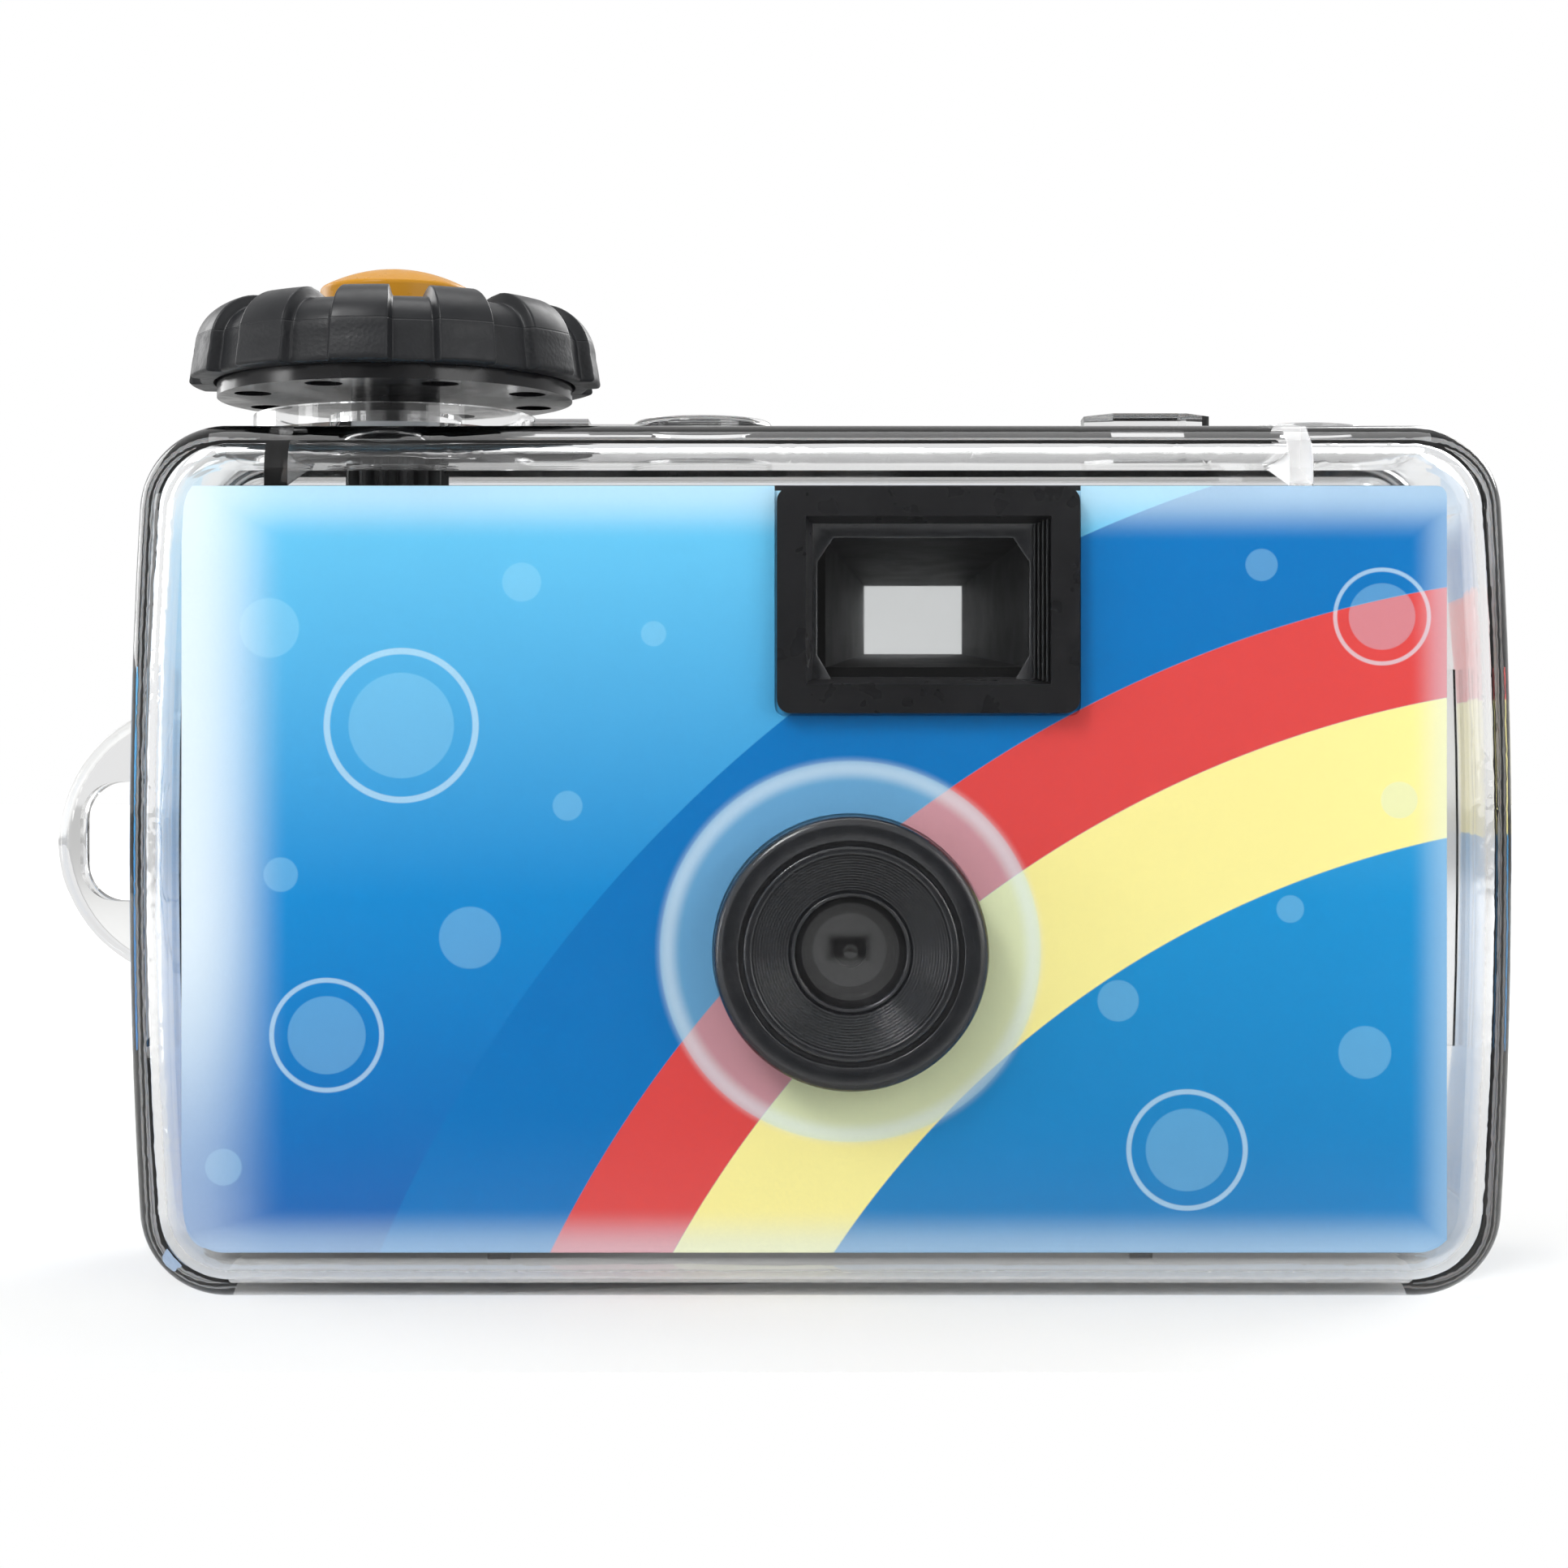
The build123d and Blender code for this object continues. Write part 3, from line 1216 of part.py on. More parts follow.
with BuildPart() as eyepiece_lens:
    with BuildSketch(Plane.XZ.offset(-finder_back_y)):
        with Locations((finder_x, finder_z)):
            Rectangle(
                finder_back_width - 2 * finder_wall - 2 * running_fit,
                finder_back_height - 2 * finder_wall - 2 * running_fit,
            )
    extrude(amount=finder_window_thickness)
eyepiece_lens.part.label = "eyepiece_lens"

# The lens and the shutter behind it

lens_section = Plane(origin=(lens_x, 0, lens_z), x_dir=(1, 0, 0), z_dir=(0, 0, 1))
lens_axis = Axis((lens_x, 0, lens_z), (0, 1, 0))
cone_front_y = ring_front_y + ring_groove_depth
cone_points = []
for step in range(ring_cone_steps):
    step_out = ring_cone_radius + (ring_throat_radius - ring_cone_radius) * step / ring_cone_steps
    step_in = ring_cone_radius + (ring_throat_radius - ring_cone_radius) * (step + 1) / ring_cone_steps
    step_y = cone_front_y + (ring_throat_y - cone_front_y) * (step + 1) / ring_cone_steps
    cone_points += [(step_out, step_y), (step_in, step_y)]

with BuildPart() as lens_ring:
    with BuildSketch(lens_section) as ring_section:
        with BuildLine():
            Polyline(
                (ring_spigot_radius, camera_front_y),
                (ring_spigot_radius, aperture_plate_y),
                (lens_rim_radius + running_fit, aperture_plate_y),
                (lens_rim_radius + running_fit, aperture_plate_y - lens_rim_thickness),
                (lens_radius + part_gap, aperture_plate_y - lens_rim_thickness),
                (lens_radius + part_gap, lens_edge_y),
                (ring_lip_radius, lens_edge_y - part_gap),
                (ring_lip_radius, ring_throat_y),
                *reversed(cone_points),
                (ring_cone_radius, cone_front_y),
                (ring_groove_radius, cone_front_y),
                (ring_groove_radius, cone_front_y + ring_groove_depth),
                (ring_land_radius, cone_front_y + ring_groove_depth),
                (ring_land_radius, ring_front_y),
                (ring_radius, ring_front_y),
                (ring_radius, camera_front_y),
                close=True,
            )
        make_face()
        fillet(ring_section.vertices().sort_by_distance(Vector(ring_radius, ring_front_y))[0], ring_edge_radius)
    revolve(axis=lens_axis)
lens_ring.part.label = "lens_ring"

lens_front_radius = -dome_radius(lens_radius, lens_edge_y - lens_crown_y)
lens_rear_radius = dome_radius(lens_radius, aperture_plate_y - lens_back_y)
with BuildPart() as lens:
    with BuildSketch(lens_section):
        with BuildLine():
            RadiusArc((0, lens_crown_y), (lens_radius, lens_edge_y), lens_front_radius)
            Polyline(
                (lens_radius, lens_edge_y),
                (lens_radius, aperture_plate_y - lens_rim_thickness),
                (lens_rim_radius, aperture_plate_y - lens_rim_thickness),
                (lens_rim_radius, aperture_plate_y),
                (lens_radius, aperture_plate_y),
            )
            RadiusArc((lens_radius, aperture_plate_y), (0, lens_back_y), lens_rear_radius)
            Line((0, lens_back_y), (0, lens_crown_y))
        make_face()
    revolve(axis=lens_axis)
lens.part.label = "lens"

with BuildPart() as aperture_plate:
    with BuildSketch(Plane.XZ.offset(-aperture_plate_y - aperture_plate_thickness)):
        with Locations((lens_x, lens_z)):
            RectangleRounded(aperture_plate_width, aperture_plate_height, plate_thickness)
            Circle(aperture_radius, mode=Mode.SUBTRACT)
    extrude(amount=aperture_plate_thickness)
aperture_plate.part.label = "aperture_plate"

with BuildPart() as shutter_blade:
    with BuildSketch(Plane.XZ.offset(-blade_y)):
        with Locations((lens_x, lens_z)):
            Circle(blade_disc_radius)
        with Locations(blade_pivot):
            Circle(blade_arm_width)
        make_hull()
        with Locations(blade_pivot):
            Circle(pivot_radius + running_fit, mode=Mode.SUBTRACT)
    extrude(amount=blade_thickness)
shutter_blade.part.label = "shutter_blade"

with BuildPart() as shutter_striker:
    with BuildSketch(Plane.XZ.offset(-striker_y)):
        with Locations(striker_pivot):
            Circle(blade_arm_width)
        with Locations((striker_pivot[0] + striker_length, striker_pivot[1] + blade_arm_width)):
            Circle(pivot_radius)
        make_hull()
        with Locations(striker_pivot):
            Circle(pivot_radius + running_fit, mode=Mode.SUBTRACT)
    extrude(amount=striker_thickness)
shutter_striker.part.label = "shutter_striker"

coil_pitch = coil_wire + coil_gap
coil_start_y = shutter_plate_y - coil_wire / 2 - running_fit
with BuildPart() as blade_spring:
    with BuildLine() as blade_coil:
        Helix(
            pitch=coil_pitch,
            height=coil_pitch * coil_turns,
            radius=pivot_radius + coil_wire,
            center=(blade_pivot[0], coil_start_y, blade_pivot[1]),
            direction=(0, -1, 0),
        )
    with BuildSketch(Plane(origin=blade_coil.line @ 0, z_dir=blade_coil.line % 0)):
        Circle(coil_wire / 2)
    sweep()
blade_spring.part.label = "blade_spring"

with BuildPart() as striker_spring:
    with BuildLine() as striker_coil:
        Helix(
            pitch=coil_pitch,
            height=coil_pitch,
            radius=pivot_radius + coil_wire,
            center=(striker_pivot[0], coil_start_y, striker_pivot[1]),
            direction=(0, -1, 0),
        )
    with BuildSketch(Plane(origin=striker_coil.line @ 0, z_dir=striker_coil.line % 0)):
        Circle(coil_wire / 2)
    sweep()
striker_spring.part.label = "striker_spring"

# Sprocket and frame counter

with BuildPart() as sprocket:
    with BuildSketch(sprocket_plane.offset(sprocket_z)):
        Circle(sprocket_tip_radius - sprocket_tooth_height)
        with PolarLocations(sprocket_tip_radius - 2 * sprocket_tooth_height, sprocket_teeth):
            Trapezoid(
                sprocket_tooth_width,
                2 * sprocket_tooth_height,
                sprocket_tooth_slope,
                rotation=-90,
                align=(Align.CENTER, Align.MIN),
            )
    extrude(amount=sprocket_thickness)
    with BuildSketch(sprocket_plane.offset(sprocket_z - part_gap - plate_thickness)):
        Circle(sprocket_shaft_radius)
    extrude(amount=counter_z + counter_thickness - sprocket_z + part_gap + plate_thickness)
    with BuildSketch(sprocket_plane.offset(counter_z)):
        Circle(sprocket_finger_radius)
        Circle(sprocket_finger_radius / 4)
    extrude(amount=counter_thickness)
sprocket.part.label = "sprocket"

with BuildPart() as counter_dial:
    with BuildSketch(counter_plane.offset(counter_z)):
        Circle(counter_radius)
        with PolarLocations(counter_radius, counter_teeth):
            RegularPolygon(counter_tooth_depth, 4, mode=Mode.SUBTRACT)
    extrude(amount=counter_thickness)
    with BuildSketch(counter_plane.offset(counter_z - counter_hub_length)):
        Circle(2 * counter_post_radius)
    extrude(amount=counter_hub_length)
    with BuildSketch(counter_plane.offset(counter_z - counter_hub_length)):
        Circle(counter_post_radius + running_fit)
    extrude(amount=counter_hub_length + counter_thickness, mode=Mode.SUBTRACT)
counter_dial.part.label = "counter_dial"

# Film cassette, film and supply spool

cassette_inner_bottom_z = cassette_bottom_z + cassette_cap_thickness
cassette_inner_top_z = cassette_top_z - cassette_cap_thickness

with BuildPart() as cassette_shell:
    with BuildSketch(spool_plane.offset(cassette_inner_bottom_z)):
        Circle(cassette_radius)
        with Locations((lip_length / 2, film_offset)):
            Rectangle(lip_length, 2 * (lip_gap + cassette_wall))
        Circle(cassette_radius - cassette_wall, mode=Mode.SUBTRACT)
        with Locations((lip_length, film_offset)):
            Rectangle(2 * lip_length, 2 * lip_gap, mode=Mode.SUBTRACT)
    extrude(amount=cassette_inner_top_z - cassette_inner_bottom_z)
cassette_shell.part.label = "cassette_shell"

with BuildPart() as cassette_caps:
    for cap_z in (cassette_bottom_z, cassette_inner_top_z):
        with BuildSketch(spool_plane.offset(cap_z)):
            Circle(cassette_radius)
            Circle(spool_end_radius + running_fit, mode=Mode.SUBTRACT)
        extrude(amount=cassette_cap_thickness)
cassette_caps.part.label = "cassette_caps"

with BuildPart() as cassette_spool:
    with BuildSketch(spool_plane.offset(cassette_bottom_z)):
        Circle(spool_end_radius)
    extrude(amount=cassette_height + spool_end_length)
    with BuildSketch(spool_plane.offset(cassette_inner_bottom_z + part_gap)):
        Circle(spool_core_radius)
    extrude(amount=cassette_inner_top_z - cassette_inner_bottom_z - 2 * part_gap)
    flange_places = (
        cassette_inner_bottom_z + part_gap,
        cassette_inner_top_z - part_gap - spool_flange_thickness,
    )
    for flange_z in flange_places:
        with BuildSketch(spool_plane.offset(flange_z)):
            Circle(spool_flange_radius)
        extrude(amount=spool_flange_thickness)
    with BuildSketch(spool_plane.offset(cassette_top_z + spool_end_length)):
        Circle(spool_bore_radius)
    extrude(amount=-spool_bore_depth, mode=Mode.SUBTRACT)
    # Bar across the bore, which the winding wheel's hub straddles
    with BuildSketch(spool_plane.offset(cassette_top_z + spool_end_length - spool_bore_depth)):
        Rectangle(2 * spool_bore_radius, spool_key_width)
    extrude(amount=spool_bore_depth - spool_end_length + spool_key_width - running_fit)
cassette_spool.part.label = "cassette_spool"

film_start_x = spool_x + lip_length / 2
with BuildPart() as film_strip:
    with BuildSketch(Plane.XZ.offset(-film_y)) as film_outline:
        with Locations(((film_start_x + supply_x) / 2, lens_z)):
            Rectangle(supply_x - film_start_x, film_width)
            with GridLocations(
                film_pitch,
                film_width - 2 * film_hole_margin - film_hole_height,
                film_hole_count,
                2,
            ):
                Rectangle(film_hole_length, film_hole_height, mode=Mode.SUBTRACT)
    extrude(amount=-film_thickness)
film_strip.part.label = "film_strip"

with BuildPart() as film_roll:
    with BuildSketch(supply_plane.offset(film_bottom_z)):
        Circle(roll_radius)
        Circle(roll_core_radius, mode=Mode.SUBTRACT)
    extrude(amount=film_width)
film_roll.part.label = "film_roll"

with BuildPart() as supply_spool:
    with BuildSketch(supply_plane.offset(film_bottom_z - part_gap)):
        Circle(roll_core_radius)
    extrude(amount=film_width + 2 * part_gap)
    for flange_z in (film_bottom_z - part_gap - spool_flange_thickness, film_top_z + part_gap):
        with BuildSketch(supply_plane.offset(flange_z)):
            Circle(supply_flange_radius)
        extrude(amount=spool_flange_thickness)
    with BuildSketch(supply_plane.offset(supply_floor_z - plate_thickness)):
        Circle(supply_pin_radius)
    extrude(amount=low_deck_z + deck_thickness - supply_floor_z + plate_thickness)
supply_spool.part.label = "supply_spool"

# One file for each piece

export_step(front_case.part, "parts/front_case.step")
export_step(case_gasket.part, "parts/case_gasket.step")
export_step(rear_case.part, "parts/rear_case.step")
export_step(knob_grip.part, "parts/knob_grip.step")
export_step(knob_body.part, "parts/knob_body.step")
export_step(shutter_button.part, "parts/shutter_button.step")
export_step(plunger.part, "parts/plunger.step")
export_step(plunger_o_ring.part, "parts/plunger_o_ring.step")
export_step(shaft_o_ring.part, "parts/shaft_o_ring.step")
export_step(button_spring.part, "parts/button_spring.step")
export_step(drive_pinion.part, "parts/drive_pinion.step")
export_step(wind_gear.part, "parts/wind_gear.step")
export_step(wind_wheel.part, "parts/wind_wheel.step")
export_step(release_button.part, "parts/release_button.step")
export_step(latch_lever.part, "parts/latch_lever.step")
export_step(card_sleeve.part, "parts/card_sleeve.step")
export_step(front_cover.part, "parts/front_cover.step")
export_step(rear_cover.part, "parts/rear_cover.step")
export_step(counter_window.part, "parts/counter_window.step")
export_step(chassis.part, "parts/chassis.step")
export_step(viewfinder_frame.part, "parts/viewfinder_frame.step")
export_step(viewfinder_lens.part, "parts/viewfinder_lens.step")
export_step(eyepiece_lens.part, "parts/eyepiece_lens.step")
export_step(lens_ring.part, "parts/lens_ring.step")
export_step(lens.part, "parts/lens.step")
export_step(aperture_plate.part, "parts/aperture_plate.step")
export_step(shutter_blade.part, "parts/shutter_blade.step")
export_step(shutter_striker.part, "parts/shutter_striker.step")
export_step(blade_spring.part, "parts/blade_spring.step")
export_step(striker_spring.part, "parts/striker_spring.step")
export_step(sprocket.part, "parts/sprocket.step")
export_step(counter_dial.part, "parts/counter_dial.step")
export_step(cassette_shell.part, "parts/cassette_shell.step")
export_step(cassette_caps.part, "parts/cassette_caps.step")
export_step(cassette_spool.part, "parts/cassette_spool.step")
export_step(film_strip.part, "parts/film_strip.step")
export_step(film_roll.part, "parts/film_roll.step")
export_step(supply_spool.part, "parts/supply_spool.step")
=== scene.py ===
import math

import bmesh
import bpy
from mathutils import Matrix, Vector


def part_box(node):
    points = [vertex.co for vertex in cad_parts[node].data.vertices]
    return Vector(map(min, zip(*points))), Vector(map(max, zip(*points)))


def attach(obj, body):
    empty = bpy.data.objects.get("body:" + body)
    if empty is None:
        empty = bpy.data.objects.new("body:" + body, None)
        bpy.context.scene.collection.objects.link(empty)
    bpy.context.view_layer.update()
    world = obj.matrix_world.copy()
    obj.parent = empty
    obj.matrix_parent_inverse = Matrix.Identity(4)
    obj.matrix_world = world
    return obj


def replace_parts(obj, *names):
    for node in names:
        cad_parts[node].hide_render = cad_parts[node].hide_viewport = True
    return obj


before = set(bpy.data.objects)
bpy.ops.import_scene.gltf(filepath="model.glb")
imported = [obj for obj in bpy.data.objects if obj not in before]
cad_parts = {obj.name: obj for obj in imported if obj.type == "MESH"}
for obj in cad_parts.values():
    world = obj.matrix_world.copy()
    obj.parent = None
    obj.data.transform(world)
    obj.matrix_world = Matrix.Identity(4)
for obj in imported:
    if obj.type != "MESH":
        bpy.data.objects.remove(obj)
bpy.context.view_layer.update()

# A single use film camera sealed in a clear waterproof case. Lengths in metres, X right,
# Y back, Z up, with the origin in the middle of the case's flat base.

MM = 0.001


# Shader building blocks
class Field:
    """One number at every point of a surface, worked out by math nodes."""

    def __init__(self, tree, socket):
        self.tree, self.socket = tree, socket

    def run(self, operation, *others, clamp=False):
        node = self.tree.nodes.new("ShaderNodeMath")
        node.operation = operation
        node.use_clamp = clamp
        for place, value in enumerate((self,) + others):
            if isinstance(value, Field):
                self.tree.links.new(value.socket, node.inputs[place])
            else:
                node.inputs[place].default_value = value
        return Field(self.tree, node.outputs[0])

    def __add__(self, other):
        return self.run("ADD", other)

    def __sub__(self, other):
        return self.run("SUBTRACT", other)

    def __mul__(self, other):
        return self.run("MULTIPLY", other)

    def __truediv__(self, other):
        return self.run("DIVIDE", other)

    def rise(self, start, end, low=0.0, high=1.0, smooth=True):
        """A ramp from low at start to high at end, flat outside them."""
        node = self.tree.nodes.new("ShaderNodeMapRange")
        node.interpolation_type = "SMOOTHSTEP" if smooth else "LINEAR"
        self.tree.links.new(self.socket, node.inputs["Value"])
        node.inputs["From Min"].default_value = start
        node.inputs["From Max"].default_value = end
        node.inputs["To Min"].default_value = low
        node.inputs["To Max"].default_value = high
        return Field(self.tree, node.outputs[0])


class Surface:
    """A node material with one Principled shader."""

    def __init__(self, name, colour, roughness=0.5, metallic=0.0, **inputs):
        self.material = bpy.data.materials.new(name)
        self.material.use_nodes = True
        self.tree = self.material.node_tree
        self.shader = self.tree.nodes["Principled BSDF"]
        self.shader.inputs["Base Color"].default_value = (*colour, 1.0)
        self.shader.inputs["Roughness"].default_value = roughness
        self.shader.inputs["Metallic"].default_value = metallic
        for key, value in inputs.items():
            self.shader.inputs[key.replace("_", " ")].default_value = value
        place = self.tree.nodes.new("ShaderNodeTexCoord")
        self.place = place.outputs["Object"]

    def axes(self):
        """X, Y and Z of the point, in millimetres."""
        parts = self.tree.nodes.new("ShaderNodeSeparateXYZ")
        self.tree.links.new(self.place, parts.inputs[0])
        return [Field(self.tree, parts.outputs[k]) * 1000.0 for k in range(3)]

    def noise(self, per_mm, detail=3.0, roughness=0.55, stretch=(1, 1, 1), seed=0.0):
        node = self.tree.nodes.new("ShaderNodeTexNoise")
        mapping = self.tree.nodes.new("ShaderNodeMapping")
        mapping.inputs["Scale"].default_value = [1000.0 * per_mm * s for s in stretch]
        mapping.inputs["Location"].default_value = (seed, seed * 0.7, seed * 1.3)
        self.tree.links.new(self.place, mapping.inputs["Vector"])
        self.tree.links.new(mapping.outputs[0], node.inputs["Vector"])
        node.inputs["Scale"].default_value = 1.0
        node.inputs["Detail"].default_value = detail
        node.inputs["Roughness"].default_value = roughness
        return Field(self.tree, node.outputs["Fac"])

    def cells(self, per_mm, feature="F1", randomness=1.0):
        node = self.tree.nodes.new("ShaderNodeTexVoronoi")
        node.feature = feature
        self.tree.links.new(self.place, node.inputs["Vector"])
        node.inputs["Scale"].default_value = 1000.0 * per_mm
        node.inputs["Randomness"].default_value = randomness
        return Field(self.tree, node.outputs["Distance"])

    def mix(self, factor, first, second):
        """Two colours, or colour sockets, mixed by a field."""
        node = self.tree.nodes.new("ShaderNodeMix")
        node.data_type = "RGBA"
        self.tree.links.new(factor.socket, node.inputs[0])
        for socket, colour in ((node.inputs[6], first), (node.inputs[7], second)):
            if isinstance(colour, tuple):
                socket.default_value = (*colour, 1.0)
            else:
                self.tree.links.new(colour, socket)
        return node.outputs[2]

    def colour(self, socket):
        self.tree.links.new(socket, self.shader.inputs["Base Color"])

    def rough(self, field):
        self.tree.links.new(field.socket, self.shader.inputs["Roughness"])

    def bump(self, field, depth_mm, strength=1.0):
        node = self.tree.nodes.new("ShaderNodeBump")
        node.inputs["Strength"].default_value = strength
        node.inputs["Distance"].default_value = depth_mm * MM
        self.tree.links.new(field.socket, node.inputs["Height"])
        self.tree.links.new(node.outputs[0], self.shader.inputs["Normal"])

    def let_light_through(self):
        """Lamps reach what lies behind the clear surface."""
        output = self.tree.nodes["Material Output"]
        clear = self.tree.nodes.new("ShaderNodeBsdfTransparent")
        path = self.tree.nodes.new("ShaderNodeLightPath")
        blend = self.tree.nodes.new("ShaderNodeMixShader")
        self.tree.links.new(path.outputs["Is Shadow Ray"], blend.inputs[0])
        self.tree.links.new(self.shader.outputs[0], blend.inputs[1])
        self.tree.links.new(clear.outputs[0], blend.inputs[2])
        self.tree.links.new(blend.outputs[0], output.inputs[0])


def dress(surface, *nodes):
    """Puts one material on the named CAD nodes."""
    for node in nodes:
        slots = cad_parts[node].material_slots
        for slot in slots:
            slot.material = surface.material


def piece(name, mesh, surface, body):
    """A mesh of the scene's own, smooth shaded, that rides on a CAD body."""
    mesh.materials.append(surface.material)
    for face in mesh.polygons:
        face.use_smooth = True
    mesh.set_sharp_from_angle(angle=math.radians(50))
    thing = bpy.data.objects.new(name, mesh)
    bpy.context.scene.collection.objects.link(thing)
    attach(thing, body)
    return thing


def grid_mesh(name, rings, turn):
    """A closed skin through rings of points, given in millimetres, mapped by turn."""
    count, size = len(rings), len(rings[0])
    points = [[c * MM for c in turn(*point)] for ring in rings for point in ring]
    faces = [(a * size + b, a * size + (b + 1) % size, ((a + 1) % count) * size + (b + 1) % size,
              ((a + 1) % count) * size + b) for a in range(count) for b in range(size)]
    mesh = bpy.data.meshes.new(name)
    mesh.from_pydata(points, [], faces)
    build = bmesh.new()
    build.from_mesh(mesh)
    bmesh.ops.recalc_face_normals(build, faces=build.faces)
    build.to_mesh(mesh)
    build.free()
    return mesh


def arc(centre, radius, start, end, steps):
    """Points of an arc, by its angles in degrees."""
    angles = [math.radians(start + (end - start) * k / steps) for k in range(steps + 1)]
    return [(centre[0] + radius * math.cos(t), centre[1] + radius * math.sin(t)) for t in angles]


def flat_plate(name, outlines, front, thickness):
    """A plate that faces the camera, cut from outlines in X and Z, in millimetres."""
    shape = bpy.data.curves.new(name, "CURVE")
    shape.dimensions = "2D"
    shape.fill_mode = "BOTH"
    shape.extrude = thickness / 2
    for outline in outlines:
        spline = shape.splines.new("POLY")
        spline.points.add(len(outline) - 1)
        spline.use_cyclic_u = True
        for point, (px, pz) in zip(spline.points, outline):
            point.co = (px, pz, 0.0, 1.0)
    holder = bpy.data.objects.new(name, shape)
    mesh = bpy.data.meshes.new_from_object(holder)
    bpy.data.objects.remove(holder)
    bpy.data.curves.remove(shape)
    for vertex in mesh.vertices:
        px, pz, py = vertex.co
        vertex.co = (px * MM, (front + thickness / 2 - py) * MM, pz * MM)
    return mesh


# Clear moulding of the case, frosted on the two ribs under its roof
left_rib_x, right_rib_x, rib_half_width, rib_blend = -46.4, 40.9, 1.02, 0.08
rib_foot_z, rib_head_z, rib_front_y = 69.0, 72.9, -22.2
left_rib_frost, rib_roughness = 0.25, 0.5
clear = Surface("clear_moulding", (0.988, 0.99, 0.992), 0.03, IOR=1.49, Transmission_Weight=1.0,
                Specular_IOR_Level=0.25)
x, y, z = clear.axes()
left_rib, right_rib = [(x - rib_x).run("ABSOLUTE").rise(rib_half_width, rib_half_width + rib_blend, 1.0, 0.0)
                       for rib_x in (left_rib_x, right_rib_x)]
rib_span = z.rise(rib_foot_z, rib_foot_z + 1.0) * z.rise(rib_head_z - 0.3, rib_head_z, 1.0, 0.0)
frosted = (left_rib * left_rib_frost).run("MAXIMUM", right_rib) * rib_span * y.rise(rib_front_y, rib_front_y + 0.4)
clear.rough(clear.noise(0.12, seed=4.0).rise(0.35, 0.75, 0.015, 0.06) + frosted * rib_roughness)
clear.bump(clear.noise(0.05, detail=1.0), 0.25, 0.12)
clear.let_light_through()
dress(clear, "front_case", "rear_case")

# Grey silicone seals
seal = Surface("silicone_seal", (0.52, 0.53, 0.54), 0.5, Subsurface_Weight=0.1)
seal.rough(seal.noise(0.8).rise(0.3, 0.7, 0.42, 0.6))
dress(seal, "case_gasket", "plunger_o_ring", "shaft_o_ring")

# Fine grained black grip, smooth above the parting line
parting_z = 83.65
grip = Surface("grained_grip", (0.016, 0.017, 0.019), 0.5, Specular_IOR_Level=0.4)
grain = grip.cells(2.6) * 0.6 + grip.noise(3.0, detail=4.0) * 0.6
x, y, z = grip.axes()
side = z.rise(parting_z - 0.25, parting_z + 0.25, 1.0, 0.12)
parting = (z - parting_z).run("ABSOLUTE").rise(0.03, 0.09, 0.0, 1.0)
grip.bump(grain * side + parting * 1.5, 0.045, 0.6)
grip.rough(grip.noise(0.5, seed=2.0).rise(0.3, 0.7, 0.0, 0.12) + side.rise(0.1, 1.0, 0.30, 0.40))
grip.colour(grip.mix(grip.noise(0.25, seed=7.0), (0.012, 0.013, 0.015), (0.021, 0.022, 0.025)))
grip_low, grip_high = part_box("knob_grip")
knob_x, knob_y = [(grip_low[k] + grip_high[k]) / 2 / MM for k in (0, 1)]
grip_foot, grip_top = grip_low[2] / MM, grip_low[2] / MM + 6.1

# Knob grip with soft edged lobes. Each ring is one profile of radius and height: plain between the
# lobes, raised on them, and the hollow inside. Lobe widths are in degrees.
lobes, lobe_half, lobe_soft, lobe_first = 12, 8.5, 0.85, -93.0
plain = [(10.4, grip_top), (11.4, grip_top), (12.5, grip_top)]
plain += arc((13.55, grip_top - 3.6), 3.6, 90, 0, 14)
plain += [(17.22, grip_foot + 1.9), (17.33, grip_foot + 1.2), (17.42, grip_foot + 0.6)]
plain += arc((17.2, grip_foot + 0.28), 0.28, 0, -90, 3)
raised = [(10.4, grip_top), (11.4, grip_top + 0.42), (12.5, grip_top + 0.80)]
raised += arc((13.55, grip_top - 3.62), 4.62, 90, 0, 14)
raised += [(18.3, grip_foot + 1.9), (18.42, grip_foot + 1.2), (18.5, grip_foot + 0.6)]
raised += arc((18.25, grip_foot + 0.3), 0.3, 0, -90, 3)
hollow = [(16.3, grip_foot), (16.25, grip_foot + 0.2), (15.95, grip_foot + 2.5), (13.4, grip_foot + 5.0),
          (7.05, grip_foot + 5.0), (7.05, grip_top - 0.3), (7.2, grip_top - 0.08), (7.5, grip_top)]
flank = [lobe_soft * k for k in (-1.5, -1.1, -0.8, -0.5, -0.2, 0.2, 0.5, 0.8, 1.1, 1.5)]
offsets = [-15.0, -12.5, -10.8] + [-lobe_half + step for step in flank] + [-5.0, -2.5, 0.0, 2.5, 5.0]
offsets += [lobe_half + step for step in flank] + [10.8, 12.5]
rings = []
for lobe in range(lobes):
    for offset in offsets:
        share = min(max((lobe_half + lobe_soft - abs(offset)) / (2 * lobe_soft), 0.0), 1.0)
        share = share * share * (3 - 2 * share)
        turn = lobe_first + 360 / lobes * lobe + offset
        ring = [(a[0] + (b[0] - a[0]) * share, a[1] + (b[1] - a[1]) * share, turn)
                for a, b in zip(plain, raised)]
        rings.append(ring + [(radius, height, turn) for radius, height in hollow])
shell = grid_mesh("grip_shell", rings, lambda radius, height, turn: (
    knob_x + radius * math.cos(math.radians(turn)), knob_y + radius * math.sin(math.radians(turn)), height))
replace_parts(piece("grip_shell", shell, grip, "knob"), "knob_grip")

